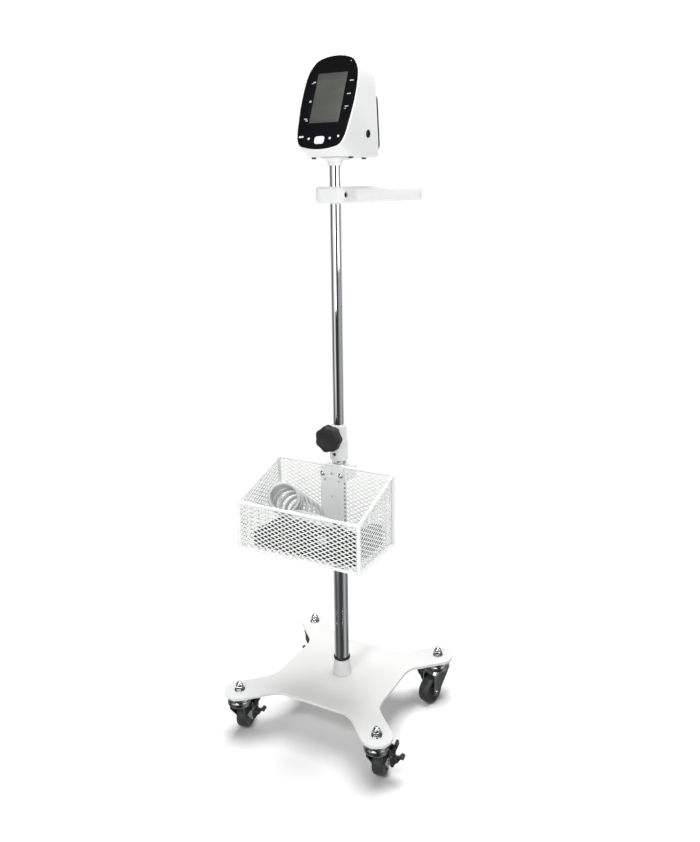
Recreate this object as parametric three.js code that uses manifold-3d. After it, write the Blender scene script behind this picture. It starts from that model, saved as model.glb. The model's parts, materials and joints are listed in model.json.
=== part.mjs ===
// A vital-signs monitor on a wheeled pole stand, with a mesh basket that holds the folded cuff
// and its curly air hose. Millimetres, +Z up. The origin is on the floor under the pole's axis.
// -Y is the front, where the screen faces and the basket hangs.
import * as THREE from 'three';
import { mergeVertices } from 'three/addons/utils/BufferGeometryUtils.js';
import Module from 'manifold-3d';

const wasm = await Module();
wasm.setup();

// ---------------------------------------------------------------- driving dimensions
const GAP = 0.3; // between pieces that touch

const PLATE_TOP = 90; // top of the base plate above the floor
const PLATE_THICK = 6;
const PLATE_UNDER = PLATE_TOP - PLATE_THICK;
const BODY_X = 112; // half the square middle of the plate
const BODY_Y = 111;
const STEM_X = 145; // castor stems
const STEM_Y = 140.2;
const ARM_HALF = 28.5; // half the width of an arm, and the radius of its end
const ARM_BLEND = 45; // radius where an arm meets the middle

const LOWER_TUBE = { r: 14, bore: 12.4, top: 564 };
const UPPER_TUBE = { r: 10.5, bore: 9.3, bottom: 495, top: 1076.6 };
const COLLAR = { r: 19, neck: 15.4, top: 121 };

const CLAMP = { bottom: 526.5, step: 565, top: 592.8, lowR: 17.2, highR: 15.2 };
const KNOB = { z: 575.8, r: 25, lobes: 7, back: -29, front: -47 };
const SET_SCREW_Z = 540;

const WHEEL_R = 26;
const WHEEL_HALF = 11;
const TRAIL = 25; // from the swivel axis to the axle
const FORK_TOP = 75;
const CROWN_UNDER = 64;
const PEDAL_PIN = { l: 25.2, z: 53 }; // to the castor's right, and its height
const CASTORS = [
  { name: 'front_left', x: -STEM_X, y: -STEM_Y, turn: 100 },
  { name: 'front_right', x: STEM_X, y: -STEM_Y, turn: 98 },
  { name: 'back_right', x: STEM_X, y: STEM_Y, turn: -105 },
  { name: 'back_left', x: -STEM_X, y: STEM_Y, turn: -12 },
];

const BASKET = { x: 121, front: -155, back: -21, floor: 389.5, frontTop: 474.5, backTop: 519 };
const POST_R = 3.5;
const RIM_R = 2.8;
const MESH_THICK = 1.4;
const BRACKET_SCREW = { x: 19, z: 504.7 };

const HANDLE = { bottom: 1000.5, top: 1029.5, front: -28, back: 168.7, near: 30, far: 115 };
const HANDLE_TAPER = { rise: 3.3, drop: 0.6 }; // the grip is slimmer than the clamp round the pole
const HANDLE_LOOP = { y: 34, near: 10, far: 80, bar: 22 };
const PINCH_BOLT = { y: -14.5, head: 5.1, shank: 2.2, inner: -20, shoulder: 23, outer: 28.4, key: 2.6 };
const MOUNT = { x: 20, half: 24, y: 6, under: 1077, sleeve: 12.8, sleeveFoot: 1066 };

const LEAN = THREE.MathUtils.degToRad(23.3); // the screen's face leans back from the vertical
const FACE = { y: -19.7, z: 1182.3 }; // middle of the bezel's face
const RIM = 3.3; // white rim round the bezel
const SHELL = 2.6;
const CASING_UNDER = 1080.5;
// Half of the bezel's outline, [half width, height up the face], from the bottom up.
const EGG = [
  [8, -97.7], [24, -95.3], [37, -91], [43.5, -82], [47.5, -66], [49.5, -46], [51.3, -23], [52, 0],
  [51, 23], [49, 41], [45, 54], [37.5, 66.5], [27, 73.5], [9, 77.6],
];
// The casing seen from its side, [y, z], from the chin round the back to the crown.
const PROFILE = [
  [-75, CASING_UNDER], [70, CASING_UNDER], [73.8, 1088], [72.8, 1100], [64, 1188], [57, 1225],
  [49.5, 1243], [36, 1254], [12, 1260], [-75, 1262],
];
const COVER = { y: 68.6, z: 1142, lean: THREE.MathUtils.degToRad(5.7), x: 51.6, half: 52, thick: 5, lip: 6 };
const REAR_CORNER = { x: 54.5, r: 12 }; // the casing's upright corners at the back
const SCREEN = { x: 29.5, low: -49, high: 46 };
const BEZEL_THICK = 5;
// Each button's [x, height up the face, half width, half height, corner].
const BUTTONS = {
  button_start: [-1, -81.5, 9.4, 6.9, 4.4],
  button_power: [-38.3, -74.6, 4.6, 1.4, 1.3],
  button_memory: [-22.5, -78.5, 2, 2, 1.9],
  button_mode: [19.2, -78.7, 2, 2, 1.9],
  button_interval: [34.8, -75.3, 2, 2, 1.9],
};
const PORT = { y: 25, z: 1120, r: 7, flange: 9 };

const HOSE_R = 3;
const COIL_R = 29.5; // outside of the coiled hose
const COIL_PATH = [
  [-63.7, -100, 474.3], [-63, -93.7, 469.2], [-62.4, -87.4, 464.1], [-61.7, -81.2, 459],
  [-56.1, -73.3, 450.2], [-50.5, -65.5, 441.3], [-46, -60, 434],
];
const LEAD_CUFF = [
  [54, -121.5, 456], [36, -118, 457.6], [16, -113.8, 458], [-4, -110.5, 457.4], [-23, -108, 456.4],
];
const LEAD_END = [
  [-12, -57, 400.5], [4, -51, 398.4], [24, -47, 398.2], [44, -46.5, 398.8], [64, -49, 399],
];
const CUFF = { left: -100, right: 110, front: -147.5, back: -113.5, top: 444 };
const CUFF_TAIL = { left: 88, right: 113.5, back: -34, top: 440, backTop: 430 }; // lies along the right wall

// ---------------------------------------------------------------- materials
const paint = (color, roughness, metalness) =>
  new THREE.MeshStandardMaterial({ color, roughness, metalness });
const WHITE_PAINT = paint(0xe9eae8, 0.45, 0);
const WHITE_PLASTIC = paint(0xf1f2f2, 0.35, 0);
const CHROME = paint(0xc9ccd0, 0.12, 1);
const STEEL = paint(0x9a9c9e, 0.3, 1);
const BLACK_PLASTIC = paint(0x17181a, 0.5, 0);
const GLOSS_BLACK = paint(0x0b0c0e, 0.12, 0);
const TYRE = paint(0x2b2c2e, 0.7, 0);
const NYLON = paint(0xdadbd6, 0.5, 0);
const LCD = paint(0x5a5f58, 0.3, 0);
const BOARD_GREEN = paint(0x1f5a3a, 0.5, 0);
const FABRIC = paint(0x2a2d35, 0.9, 0);
const HOSE_GREY = paint(0x9b9fa3, 0.45, 0);
const REAR_GREY = paint(0x3a3c40, 0.5, 0);

// ---------------------------------------------------------------- solids
function toSolid(geometry) {
  const bare = geometry.clone();
  bare.deleteAttribute('normal');
  bare.deleteAttribute('uv');
  const merged = mergeVertices(bare, 1e-4);
  const vertProperties = new Float32Array(merged.attributes.position.array);
  const triVerts = new Uint32Array(merged.index.array);
  return new wasm.Manifold(new wasm.Mesh({ numProp: 3, vertProperties, triVerts }));
}

function toGeometry(solid) {
  const { vertProperties, triVerts } = solid.getMesh();
  const geometry = new THREE.BufferGeometry();
  geometry.setAttribute('position', new THREE.BufferAttribute(vertProperties, 3));
  geometry.setIndex(new THREE.BufferAttribute(triVerts, 1));
  geometry.computeVertexNormals();
  return geometry;
}

const join = (...geometries) => geometries.map(toSolid).reduce((all, next) => all.add(next));
const cut = (solid, ...geometries) =>
  geometries.map(toSolid).reduce((left, next) => left.subtract(next), solid);

function mesh(name, shape, material, parent) {
  const geometry = shape.isBufferGeometry ? shape : toGeometry(shape);
  const piece = new THREE.Mesh(geometry, material);
  piece.name = name;
  parent.add(piece);
  return piece;
}

function box(x0, x1, y0, y1, z0, z1) {
  const geometry = new THREE.BoxGeometry(x1 - x0, y1 - y0, z1 - z0);
  return geometry.translate((x0 + x1) / 2, (y0 + y1) / 2, (z0 + z1) / 2);
}

function rod(from, to, r, sides = 8) {
  const start = new THREE.Vector3(...from);
  const end = new THREE.Vector3(...to);
  const along = end.clone().sub(start);
  const geometry = new THREE.CylinderGeometry(r, r, along.length(), sides);
  const up = new THREE.Vector3(0, 1, 0);
  const turn = new THREE.Quaternion().setFromUnitVectors(up, along.clone().normalize());
  geometry.applyQuaternion(turn);
  const middle = start.add(end).multiplyScalar(0.5);
  return geometry.translate(middle.x, middle.y, middle.z);
}

const ball = (at, r) => new THREE.SphereGeometry(r, 8, 6).translate(...at);

// A turned piece: profile points are [radius, height], and the axis is Z.
function turned(profile, sides = 32) {
  const points = profile.map(([r, h]) => new THREE.Vector2(r, h));
  return new THREE.LatheGeometry(points, sides).rotateX(Math.PI / 2);
}

const ring = (inner, outer, low, high, sides) =>
  turned([[inner, low], [outer, low], [outer, high], [inner, high], [inner, low]], sides);

// A closed outline with rounded corners: each corner is [x, y, radius], anticlockwise.
function rounded(corners, Outline = THREE.Shape) {
  const outline = new Outline();
  corners.forEach(([x, y, r], i) => {
    const here = new THREE.Vector2(x, y);
    const before = corners.at(i - 1);
    const after = corners[(i + 1) % corners.length];
    const back = new THREE.Vector2(before[0], before[1]).sub(here).normalize();
    const ahead = new THREE.Vector2(after[0], after[1]).sub(here).normalize();
    const half = Math.acos(THREE.MathUtils.clamp(back.dot(ahead), -1, 1)) / 2;
    const reach = r / Math.tan(half);
    const start = here.clone().addScaledVector(back, reach);
    const end = here.clone().addScaledVector(ahead, reach);
    const centre = here.clone().addScaledVector(back.clone().add(ahead).normalize(), r / Math.sin(half));
    const clockwise = back.cross(ahead) > 0;
    if (i === 0) outline.moveTo(start.x, start.y);
    else outline.lineTo(start.x, start.y);
    const a0 = Math.atan2(start.y - centre.y, start.x - centre.x);
    const a1 = Math.atan2(end.y - centre.y, end.x - centre.x);
    outline.absarc(centre.x, centre.y, r, a0, a1, clockwise);
  });
  outline.closePath();
  return outline;
}

function roundedBox(halfX, halfY, r, x = 0, y = 0) {
  const signs = [[-1, -1], [1, -1], [1, 1], [-1, 1]];
  return rounded(signs.map(([sx, sy]) => [x + sx * halfX, y + sy * halfY, r]));
}

const polygon = (points) => new THREE.Shape(points.map(([x, y]) => new THREE.Vector2(x, y)));

const circle = (x, y, r) => new THREE.Path().absarc(x, y, r, 0, 2 * Math.PI, false);

// Extrudes an outline between two heights on Z, with an optional chamfer on both faces.
function slab(shape, low, high, curveSegments = 4, chamfer = 0) {
  const geometry = new THREE.ExtrudeGeometry(shape, {
    depth: high - low - 2 * chamfer,
    curveSegments,
    bevelEnabled: chamfer > 0,
    bevelThickness: chamfer,
    bevelSize: chamfer,
    bevelOffset: -chamfer,
    bevelSegments: 1,
  });
  return geometry.translate(0, 0, low + chamfer);
}

// The same with the outline in the YZ plane, extruded along X.
function slabX(shape, low, high, curveSegments = 4) {
  const turn = new THREE.Matrix4().makeBasis(
    new THREE.Vector3(0, 1, 0), new THREE.Vector3(0, 0, 1), new THREE.Vector3(1, 0, 0));
  return slab(shape, low, high, curveSegments).applyMatrix4(turn);
}

// The same with the outline in the XZ plane, extruded along Y.
const slabY = (shape, low, high, curveSegments = 4, chamfer = 0) =>
  slab(shape, -high, -low, curveSegments, chamfer).rotateX(Math.PI / 2);

// An outline given as [out to the castor's right, height, radius].
const sideways = (corners) => rounded(corners.map(([l, z, r]) => [-l, z, r]).reverse());

// ---------------------------------------------------------------- base plate and lower pole
function plateOutline() {
  const along = new THREE.Vector2(STEM_X, STEM_Y).normalize();
  const across = new THREE.Vector2(-along.y, along.x);
  const tip = (side) => [
    STEM_X + ARM_HALF * (along.x + side * across.x),
    STEM_Y + ARM_HALF * (along.y + side * across.y),
    ARM_HALF * 0.98,
  ];
  const right = tip(-1);
  const left = tip(1);
  const slope = along.y / along.x;
  const quarter = [
    [BODY_X, right[1] - (right[0] - BODY_X) * slope, ARM_BLEND],
    right,
    left,
    [left[0] - (left[1] - BODY_Y) / slope, BODY_Y, ARM_BLEND],
  ];
  const mirrored = (sx, sy) => quarter.map(([x, y, r]) => [sx * x, sy * y, r]);
  return rounded([
    ...quarter,
    ...mirrored(-1, 1).reverse(),
    ...mirrored(-1, -1),
    ...mirrored(1, -1).reverse(),
  ]);
}

function addBase(parent) {
  const boltHole = ({ x, y }) => rod([x, y, PLATE_UNDER - 1], [x, y, PLATE_TOP + 1], 5.5, 16);
  const boltHoles = [{ x: 0, y: 0 }, ...CASTORS].map(boltHole);
  const plate = toSolid(slab(plateOutline(), PLATE_UNDER, PLATE_TOP, 3, 0.8));
  mesh('base_plate', cut(plate, ...boltHoles), WHITE_PAINT, parent);

  const tubeHole = LOWER_TUBE.r + GAP;
  const foot = PLATE_TOP + GAP;
  const collar = turned([
    [tubeHole, foot], [COLLAR.r, foot], [COLLAR.r - 1.4, foot + 6], [COLLAR.neck, COLLAR.top - 2],
    [COLLAR.neck - 0.6, COLLAR.top], [tubeHole, COLLAR.top], [tubeHole, foot],
  ], 36);
  mesh('pole_collar', collar, WHITE_PAINT, parent);
  mesh('collar_ring', ring(tubeHole, 16, COLLAR.top + GAP, COLLAR.top + 4, 36), BLACK_PLASTIC, parent);
  mesh('lower_tube', ring(LOWER_TUBE.bore, LOWER_TUBE.r, foot, LOWER_TUBE.top, 36), CHROME, parent);

  const head = new THREE.CylinderGeometry(9, 9, 6, 6).rotateX(Math.PI / 2);
  head.translate(0, 0, PLATE_UNDER - GAP - 3);
  const plug = turned([[0, foot], [12.1, foot], [12.1, foot + 18], [0, foot + 18]], 24);
  const bolt = join(head, plug, rod([0, 0, PLATE_UNDER - 2], [0, 0, foot + 4], 5, 16));
  mesh('pole_anchor_bolt', bolt, STEEL, parent);

  for (const { name, x, y } of CASTORS) {
    const hex = new THREE.CylinderGeometry(8.7, 8.7, 7, 6).rotateX(Math.PI / 2).translate(x, y, foot + 5.2);
    const washer = ring(5.3, 10, foot, foot + 1.8, 16).translate(x, y, 0);
    const dome = turned([
      [0, foot + 1], [7.2, foot + 1], [7.2, foot + 11], [6.2, foot + 14.2], [3.6, foot + 16.4],
      [0, foot + 17.2],
    ], 16).translate(x, y, 0);
    const nut = cut(join(hex, dome), rod([x, y, foot - 1], [x, y, foot + 9.5], 5.3, 16));
    mesh(`acorn_nut_${name}`, nut.add(toSolid(washer)), CHROME, parent);
  }
}

// ---------------------------------------------------------------- castors
// In a castor's own group, +X points from the swivel axis to the trailing axle.
function addCastor({ name, x, y, turn }, parent) {
  const place = new THREE.Group();
  place.position.set(x, y, 0);
  place.rotation.z = THREE.MathUtils.degToRad(turn);
  parent.add(place);

  const stem = turned([
    [0, 55.5], [9, 55.5], [9, 59], [5, 59], [5, FORK_TOP + GAP], [22, FORK_TOP + GAP], [24.5, FORK_TOP + 2.5],
    [24.5, PLATE_UNDER - 1.8], [23.5, PLATE_UNDER - GAP], [5, PLATE_UNDER - GAP], [5, PLATE_TOP + 8.5],
    [0, PLATE_TOP + 8.5],
  ], 20);
  mesh(`castor_stem_${name}`, stem, STEEL, place);

  const crown = ring(5.3, 24, CROWN_UNDER, FORK_TOP, 16);
  const hub = ring(5.3, 10, 59.3, CROWN_UNDER + 1, 16);
  const leg = rounded([
    [TRAIL - 8, 18, 7.6], [TRAIL + 8.5, 18, 7.6], [TRAIL + 3, 58, 4], [17, CROWN_UNDER + 3, 2],
    [-15, CROWN_UNDER + 3, 2], [-15, 55, 5],
  ]);
  const legs = [[-15.5, -13], [13, 15.5]].map(([from, to]) => slabY(leg, from, to, 1));
  const axle = rod([TRAIL, -18, WHEEL_R], [TRAIL, 18, WHEEL_R], 3.5, 12);
  const lug = sideways([[14, 50, 1.5], [24, 47.5, 3], [29, 50, 3], [29, 56, 3], [24, 66, 3], [14, 66, 1.5]]);
  const lugs = [[2, 4], [18, 20]].map(([from, to]) => slabX(lug, from, to, 1));
  const hinge = rod([3, -PEDAL_PIN.l, PEDAL_PIN.z], [19, -PEDAL_PIN.l, PEDAL_PIN.z], 1.6, 10);
  mesh(`castor_fork_${name}`, join(crown, hub, ...legs, axle, ...lugs, hinge), CHROME, place);

  const wheel = turned([
    [3.8, -10.6], [8, -10.6], [9, -8.6], [18.5, -8.6], [19.5, -WHEEL_HALF], [23, -WHEEL_HALF],
    [WHEEL_R, -6.5], [WHEEL_R, 6.5], [23, WHEEL_HALF], [19.5, WHEEL_HALF], [18.5, 8.6], [9, 8.6],
    [8, 10.6], [3.8, 10.6], [3.8, -10.6],
  ], 24);
  wheel.rotateX(Math.PI / 2).translate(TRAIL, 0, WHEEL_R);
  mesh(`wheel_${name}`, wheel, TYRE, place);

  // The brake pedal stands out on the castor's right-hand side: a hook above, a tongue to press
  // and the cam below, on a pin that runs along the trail.
  const pedal = sideways([
    [23, 31, 1.5], [27.5, 30.5, 1.5], [31.5, 38, 3], [36.5, 42, 3], [42, 50.5, 3], [46.5, 48.8, 1],
    [47.4, 51.4, 1], [41.5, 55, 3], [34.5, 46.5, 3], [29.4, 48, 2], [29.4, 57, 3], [36, 70, 3],
    [35.2, 78.5, 2.4], [29.6, 78, 2.4], [30.2, 72, 2.5], [21.4, 58, 2.5], [21.4, 46, 2.5],
  ]);
  const bore = rod([3, -PEDAL_PIN.l, PEDAL_PIN.z], [19, -PEDAL_PIN.l, PEDAL_PIN.z], 1.9, 10);
  mesh(`brake_pedal_${name}`, cut(toSolid(slabX(pedal, 4.4, 17.6, 1)), bore), BLACK_PLASTIC, place);
}

// ---------------------------------------------------------------- height clamp
function addClamp(parent) {
  const sleeve = turned([
    [0, CLAMP.bottom], [CLAMP.lowR, CLAMP.bottom], [CLAMP.lowR - 0.4, CLAMP.step - 0.5],
    [CLAMP.highR, CLAMP.step], [CLAMP.highR - 0.3, CLAMP.top], [0, CLAMP.top],
  ], 36);
  const boss = rod([0, -8, KNOB.z], [0, -26, KNOB.z], 10, 20);
  const screwBoss = rod([0, -8, SET_SCREW_Z], [0, -18.4, SET_SCREW_Z], 5.5, 16);
  const body = cut(
    join(sleeve, boss, screwBoss),
    rod([0, 0, CLAMP.bottom - 1], [0, 0, LOWER_TUBE.top + 0.5], LOWER_TUBE.r + GAP, 36),
    rod([0, 0, CLAMP.step - 5], [0, 0, CLAMP.top + 1], UPPER_TUBE.r + GAP, 32),
    rod([0, -30, KNOB.z], [0, -5, KNOB.z], 4.3, 14),
    rod([0, -30, SET_SCREW_Z], [0, -5, SET_SCREW_Z], 3.3, 14),
  );
  mesh('height_clamp', body, WHITE_PLASTIC, parent);
  const setScrew = rod([0, -17.6, SET_SCREW_Z], [0, -14.4, SET_SCREW_Z], 3, 12);
  mesh('clamp_set_screw', setScrew, BLACK_PLASTIC, parent);
  const bush = ring(UPPER_TUBE.r + GAP, LOWER_TUBE.bore - GAP, 530, LOWER_TUBE.top - GAP, 32);
  mesh('guide_bush', bush, NYLON, parent);

  const lobed = new THREE.Shape();
  const steps = KNOB.lobes * 8;
  for (let i = 0; i < steps; i += 1) {
    const angle = (i / steps) * 2 * Math.PI;
    const r = KNOB.r - 1.1 * (1 - Math.cos(KNOB.lobes * angle));
    if (i === 0) lobed.moveTo(r, 0);
    else lobed.lineTo(r * Math.cos(angle), r * Math.sin(angle));
  }
  const grip = slabY(lobed, KNOB.front, KNOB.back, 1, 2.5).translate(0, 0, KNOB.z);
  const stud = rod([0, KNOB.back - 2, KNOB.z], [0, -UPPER_TUBE.r - 0.8, KNOB.z], 4, 14);
  mesh('clamp_knob', join(grip, stud), BLACK_PLASTIC, parent);
}

// ---------------------------------------------------------------- basket and its bracket
function addBasket(parent) {
  const { x, front, back, floor, frontTop, backTop } = BASKET;
  const corner = (sx, y, z) => [sx * x, y, z];
  const rods = [];
  for (const sx of [-1, 1]) {
    rods.push(rod(corner(sx, front, floor), corner(sx, front, frontTop), POST_R));
    rods.push(rod(corner(sx, back, floor), corner(sx, back, backTop), POST_R));
    rods.push(rod(corner(sx, front, floor), corner(sx, back, floor), RIM_R));
    rods.push(rod(corner(sx, front, frontTop), corner(sx, back, backTop), RIM_R));
    for (const [y, z] of [[front, floor], [front, frontTop], [back, floor], [back, backTop]]) {
      rods.push(ball(corner(sx, y, z), POST_R + 0.05));
    }
  }
  for (const [y, z] of [[front, floor], [front, frontTop], [back, floor], [back, backTop]]) {
    rods.push(rod(corner(-1, y, z), corner(1, y, z), RIM_R));
  }
  mesh('basket_frame', join(...rods), WHITE_PAINT, parent);

  // The five mesh walls are one thin skin inside the frame.
  const slope = (backTop - frontTop) / (back - front);
  const wallX = x - POST_R - GAP;
  const y0 = front + POST_R + GAP;
  const y1 = back - POST_R - GAP;
  const z0 = floor + RIM_R + GAP;
  const edge = (y) => frontTop + (y - front) * slope - RIM_R - 0.8;
  const side = polygon([[y0, z0], [y1, z0], [y1, edge(y1)], [y0, edge(y0)]]);
  const t = MESH_THICK;
  const inside = box(-wallX + t, wallX - t, y0 + t, y1 - t, z0 + t, backTop + 20);
  const bolts = [-BRACKET_SCREW.x, BRACKET_SCREW.x].map((bx) =>
    rod([bx, -60, BRACKET_SCREW.z], [bx, 15, BRACKET_SCREW.z], 2.8, 12));
  mesh('basket_mesh', cut(toSolid(slabX(side, -wallX, wallX)), inside, ...bolts), WHITE_PAINT, parent);

  const plate = roundedBox(24, 58, 3, 0, 462);
  for (const [hx, hz] of [[0, 506], [14.5, 493], [-14.5, 493], [0, 461.5], [14.3, 431], [14.3, 416]]) {
    plate.holes.push(circle(hx, hz, 2));
  }
  const plateBack = y1 - MESH_THICK - GAP;
  const strap = toSolid(slabY(plate, plateBack - 3, plateBack, 3));
  mesh('bracket_plate', cut(strap, ...bolts), WHITE_PAINT, parent);

  const bore = rod([0, 0, 480], [0, 0, 530], LOWER_TUBE.r + GAP, 36);
  for (const [word, y2, y3] of [['front', y1 + GAP, -1.2], ['back', 1.2, 20]]) {
    const block = toSolid(box(-27, 27, y2, y3, 492, 515.8));
    mesh(`pole_clamp_${word}`, cut(block, bore, ...bolts), WHITE_PAINT, parent);
  }

  const headBack = plateBack - 3 - GAP;
  for (const [word, bx] of [['left', -BRACKET_SCREW.x], ['right', BRACKET_SCREW.x]]) {
    const dome = turned([[0, 0], [5.2, 0], [5, 1.2], [3.6, 2.8], [0, 3.4]], 18).rotateX(Math.PI / 2);
    dome.translate(bx, headBack, BRACKET_SCREW.z);
    const shank = rod([bx, headBack - 1, BRACKET_SCREW.z], [bx, 14, BRACKET_SCREW.z], 2.5, 12);
    mesh(`bracket_screw_${word}`, join(dome, shank), CHROME, parent);
  }
}

// ---------------------------------------------------------------- cuff and air hose in the basket
function hose(points, r, steps, sides) {
  const extrudePath = new THREE.CatmullRomCurve3(points.map((p) => new THREE.Vector3(...p)));
  const shape = new THREE.Shape().absarc(0, 0, r, 0, 2 * Math.PI, false);
  const curveSegments = sides / 2;
  return new THREE.ExtrudeGeometry(shape, { steps, curveSegments, bevelEnabled: false, extrudePath });
}

function addCuff(parent) {
  const { left, right, front, back, top } = CUFF;
  const under = BASKET.floor + RIM_R + GAP + MESH_THICK + GAP;
  const outline = rounded([
    [left, under, 6], [right, under, 8], [right, top - 6, 14], [40, top, 60], [-55, top, 20],
    [left, top - 26, 9],
  ]);
  const tail = polygon([
    [back - 6, under], [CUFF_TAIL.back, under], [CUFF_TAIL.back, CUFF_TAIL.backTop],
    [back - 6, CUFF_TAIL.top],
  ]);
  const folded = slabY(outline, front, back, 4, 5);
  mesh('cuff', join(folded, slabX(tail, CUFF_TAIL.left, CUFF_TAIL.right, 1)), FABRIC, parent);

  const [nx, ny, nz] = LEAD_CUFF[0];
  const foot = turned([
    [0, top + GAP], [8, top + GAP], [7.4, top + 2.4], [3.6, top + 3], [3.6, nz + 3], [0, nz + 3.6],
  ], 18).translate(nx + 13, ny, 0);
  const elbow = rod([nx + 1, ny, nz], [nx + 13, ny, nz], 3.2, 12);
  mesh('cuff_nipple', join(foot, elbow), BLACK_PLASTIC, parent);

  mesh('hose_lead_cuff', hose(LEAD_CUFF, HOSE_R, 10, 8), HOSE_GREY, parent);
  mesh('hose_coil', hose(COIL_PATH, COIL_R, 18, 20), HOSE_GREY, parent);
  mesh('hose_lead_end', hose(LEAD_END, HOSE_R, 10, 8), HOSE_GREY, parent);

  const end = new THREE.Vector3(...LEAD_END.at(-1));
  const along = end.clone().sub(new THREE.Vector3(...LEAD_END.at(-2))).setZ(0).normalize();
  const at = (distance) => end.clone().addScaledVector(along, distance).toArray();
  const connector = join(rod(at(0.8), at(13), 4.4, 14), rod(at(12), at(21), 3, 12));
  mesh('hose_connector', connector, WHITE_PLASTIC, parent);
}

// ---------------------------------------------------------------- upper pole, handle and mount
function addMast(parent) {
  const tube = ring(UPPER_TUBE.bore, UPPER_TUBE.r, UPPER_TUBE.bottom, UPPER_TUBE.top, 32);
  mesh('upper_tube', tube, CHROME, parent);

  const { bottom, top, front, back, near, far } = HANDLE;
  const outline = rounded([
    [-near, front, 12], [near, front, 12], [near, 16, 30], [far, back, 20], [-far, back, 20], [-near, 16, 30],
  ]);
  const gripFront = back - HANDLE_LOOP.bar;
  outline.holes.push(rounded([
    [-HANDLE_LOOP.near, HANDLE_LOOP.y, 6], [HANDLE_LOOP.near, HANDLE_LOOP.y, 6],
    [HANDLE_LOOP.far, gripFront, 14], [-HANDLE_LOOP.far, gripFront, 14],
  ], THREE.Path));
  const loop = slab(outline, bottom, top, 5, 3);
  const positions = loop.attributes.position;
  const middle = (bottom + top) / 2;
  for (let i = 0; i < positions.count; i += 1) {
    const share = THREE.MathUtils.clamp(positions.getY(i) / back, 0, 1);
    const z = positions.getZ(i);
    positions.setZ(i, z < middle ? z + HANDLE_TAPER.rise * share : z - HANDLE_TAPER.drop * share);
  }
  const poleBore = rod([0, 0, bottom - 1], [0, 0, top + 1], UPPER_TUBE.r + GAP, 36);
  const { y, head, shank, inner, shoulder, outer, key } = PINCH_BOLT;
  const crosswise = (from, to, r, sides = 16) => rod([from, y, middle], [to, y, middle], r, sides);
  const headSeat = crosswise(shoulder - GAP, near + 5, head + GAP);
  const shankBore = crosswise(inner - GAP, near, shank + GAP);
  mesh('push_handle', cut(toSolid(loop), poleBore, headSeat, shankBore), WHITE_PLASTIC, parent);
  const bolt = join(crosswise(shoulder, outer, head), crosswise(inner, shoulder + 1, shank));
  mesh('handle_screw', cut(bolt, crosswise(outer - 3, outer + 1, key, 6)), STEEL, parent);

  const sleeve = ring(UPPER_TUBE.r + GAP, MOUNT.sleeve, MOUNT.sleeveFoot, MOUNT.under + 1, 32);
  const flat = roundedBox(MOUNT.x, MOUNT.half, 6, 0, MOUNT.y);
  const plate = slab(flat, MOUNT.under, CASING_UNDER - GAP, 4, 0.6);
  mesh('mount_plate', join(sleeve, plate), WHITE_PAINT, parent);
}

// ---------------------------------------------------------------- monitor
// In the face group +Y points up the bezel and +Z out of it.
const faceOutline = () => [...EGG, ...EGG.toReversed().map(([x, v]) => [-x, v])];

// Moves each corner of a convex outline out along its mean normal.
function grow(points, by) {
  return points.map(([x, y], i) => {
    const [ax, ay] = points.at(i - 1);
    const [bx, by2] = points[(i + 1) % points.length];
    const before = new THREE.Vector2(y - ay, ax - x).normalize();
    const after = new THREE.Vector2(by2 - y, x - bx).normalize();
    const normal = before.clone().add(after).normalize();
    const reach = by / Math.max(normal.dot(before), 0.5);
    return [x + normal.x * reach, y + normal.y * reach];
  });
}

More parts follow.
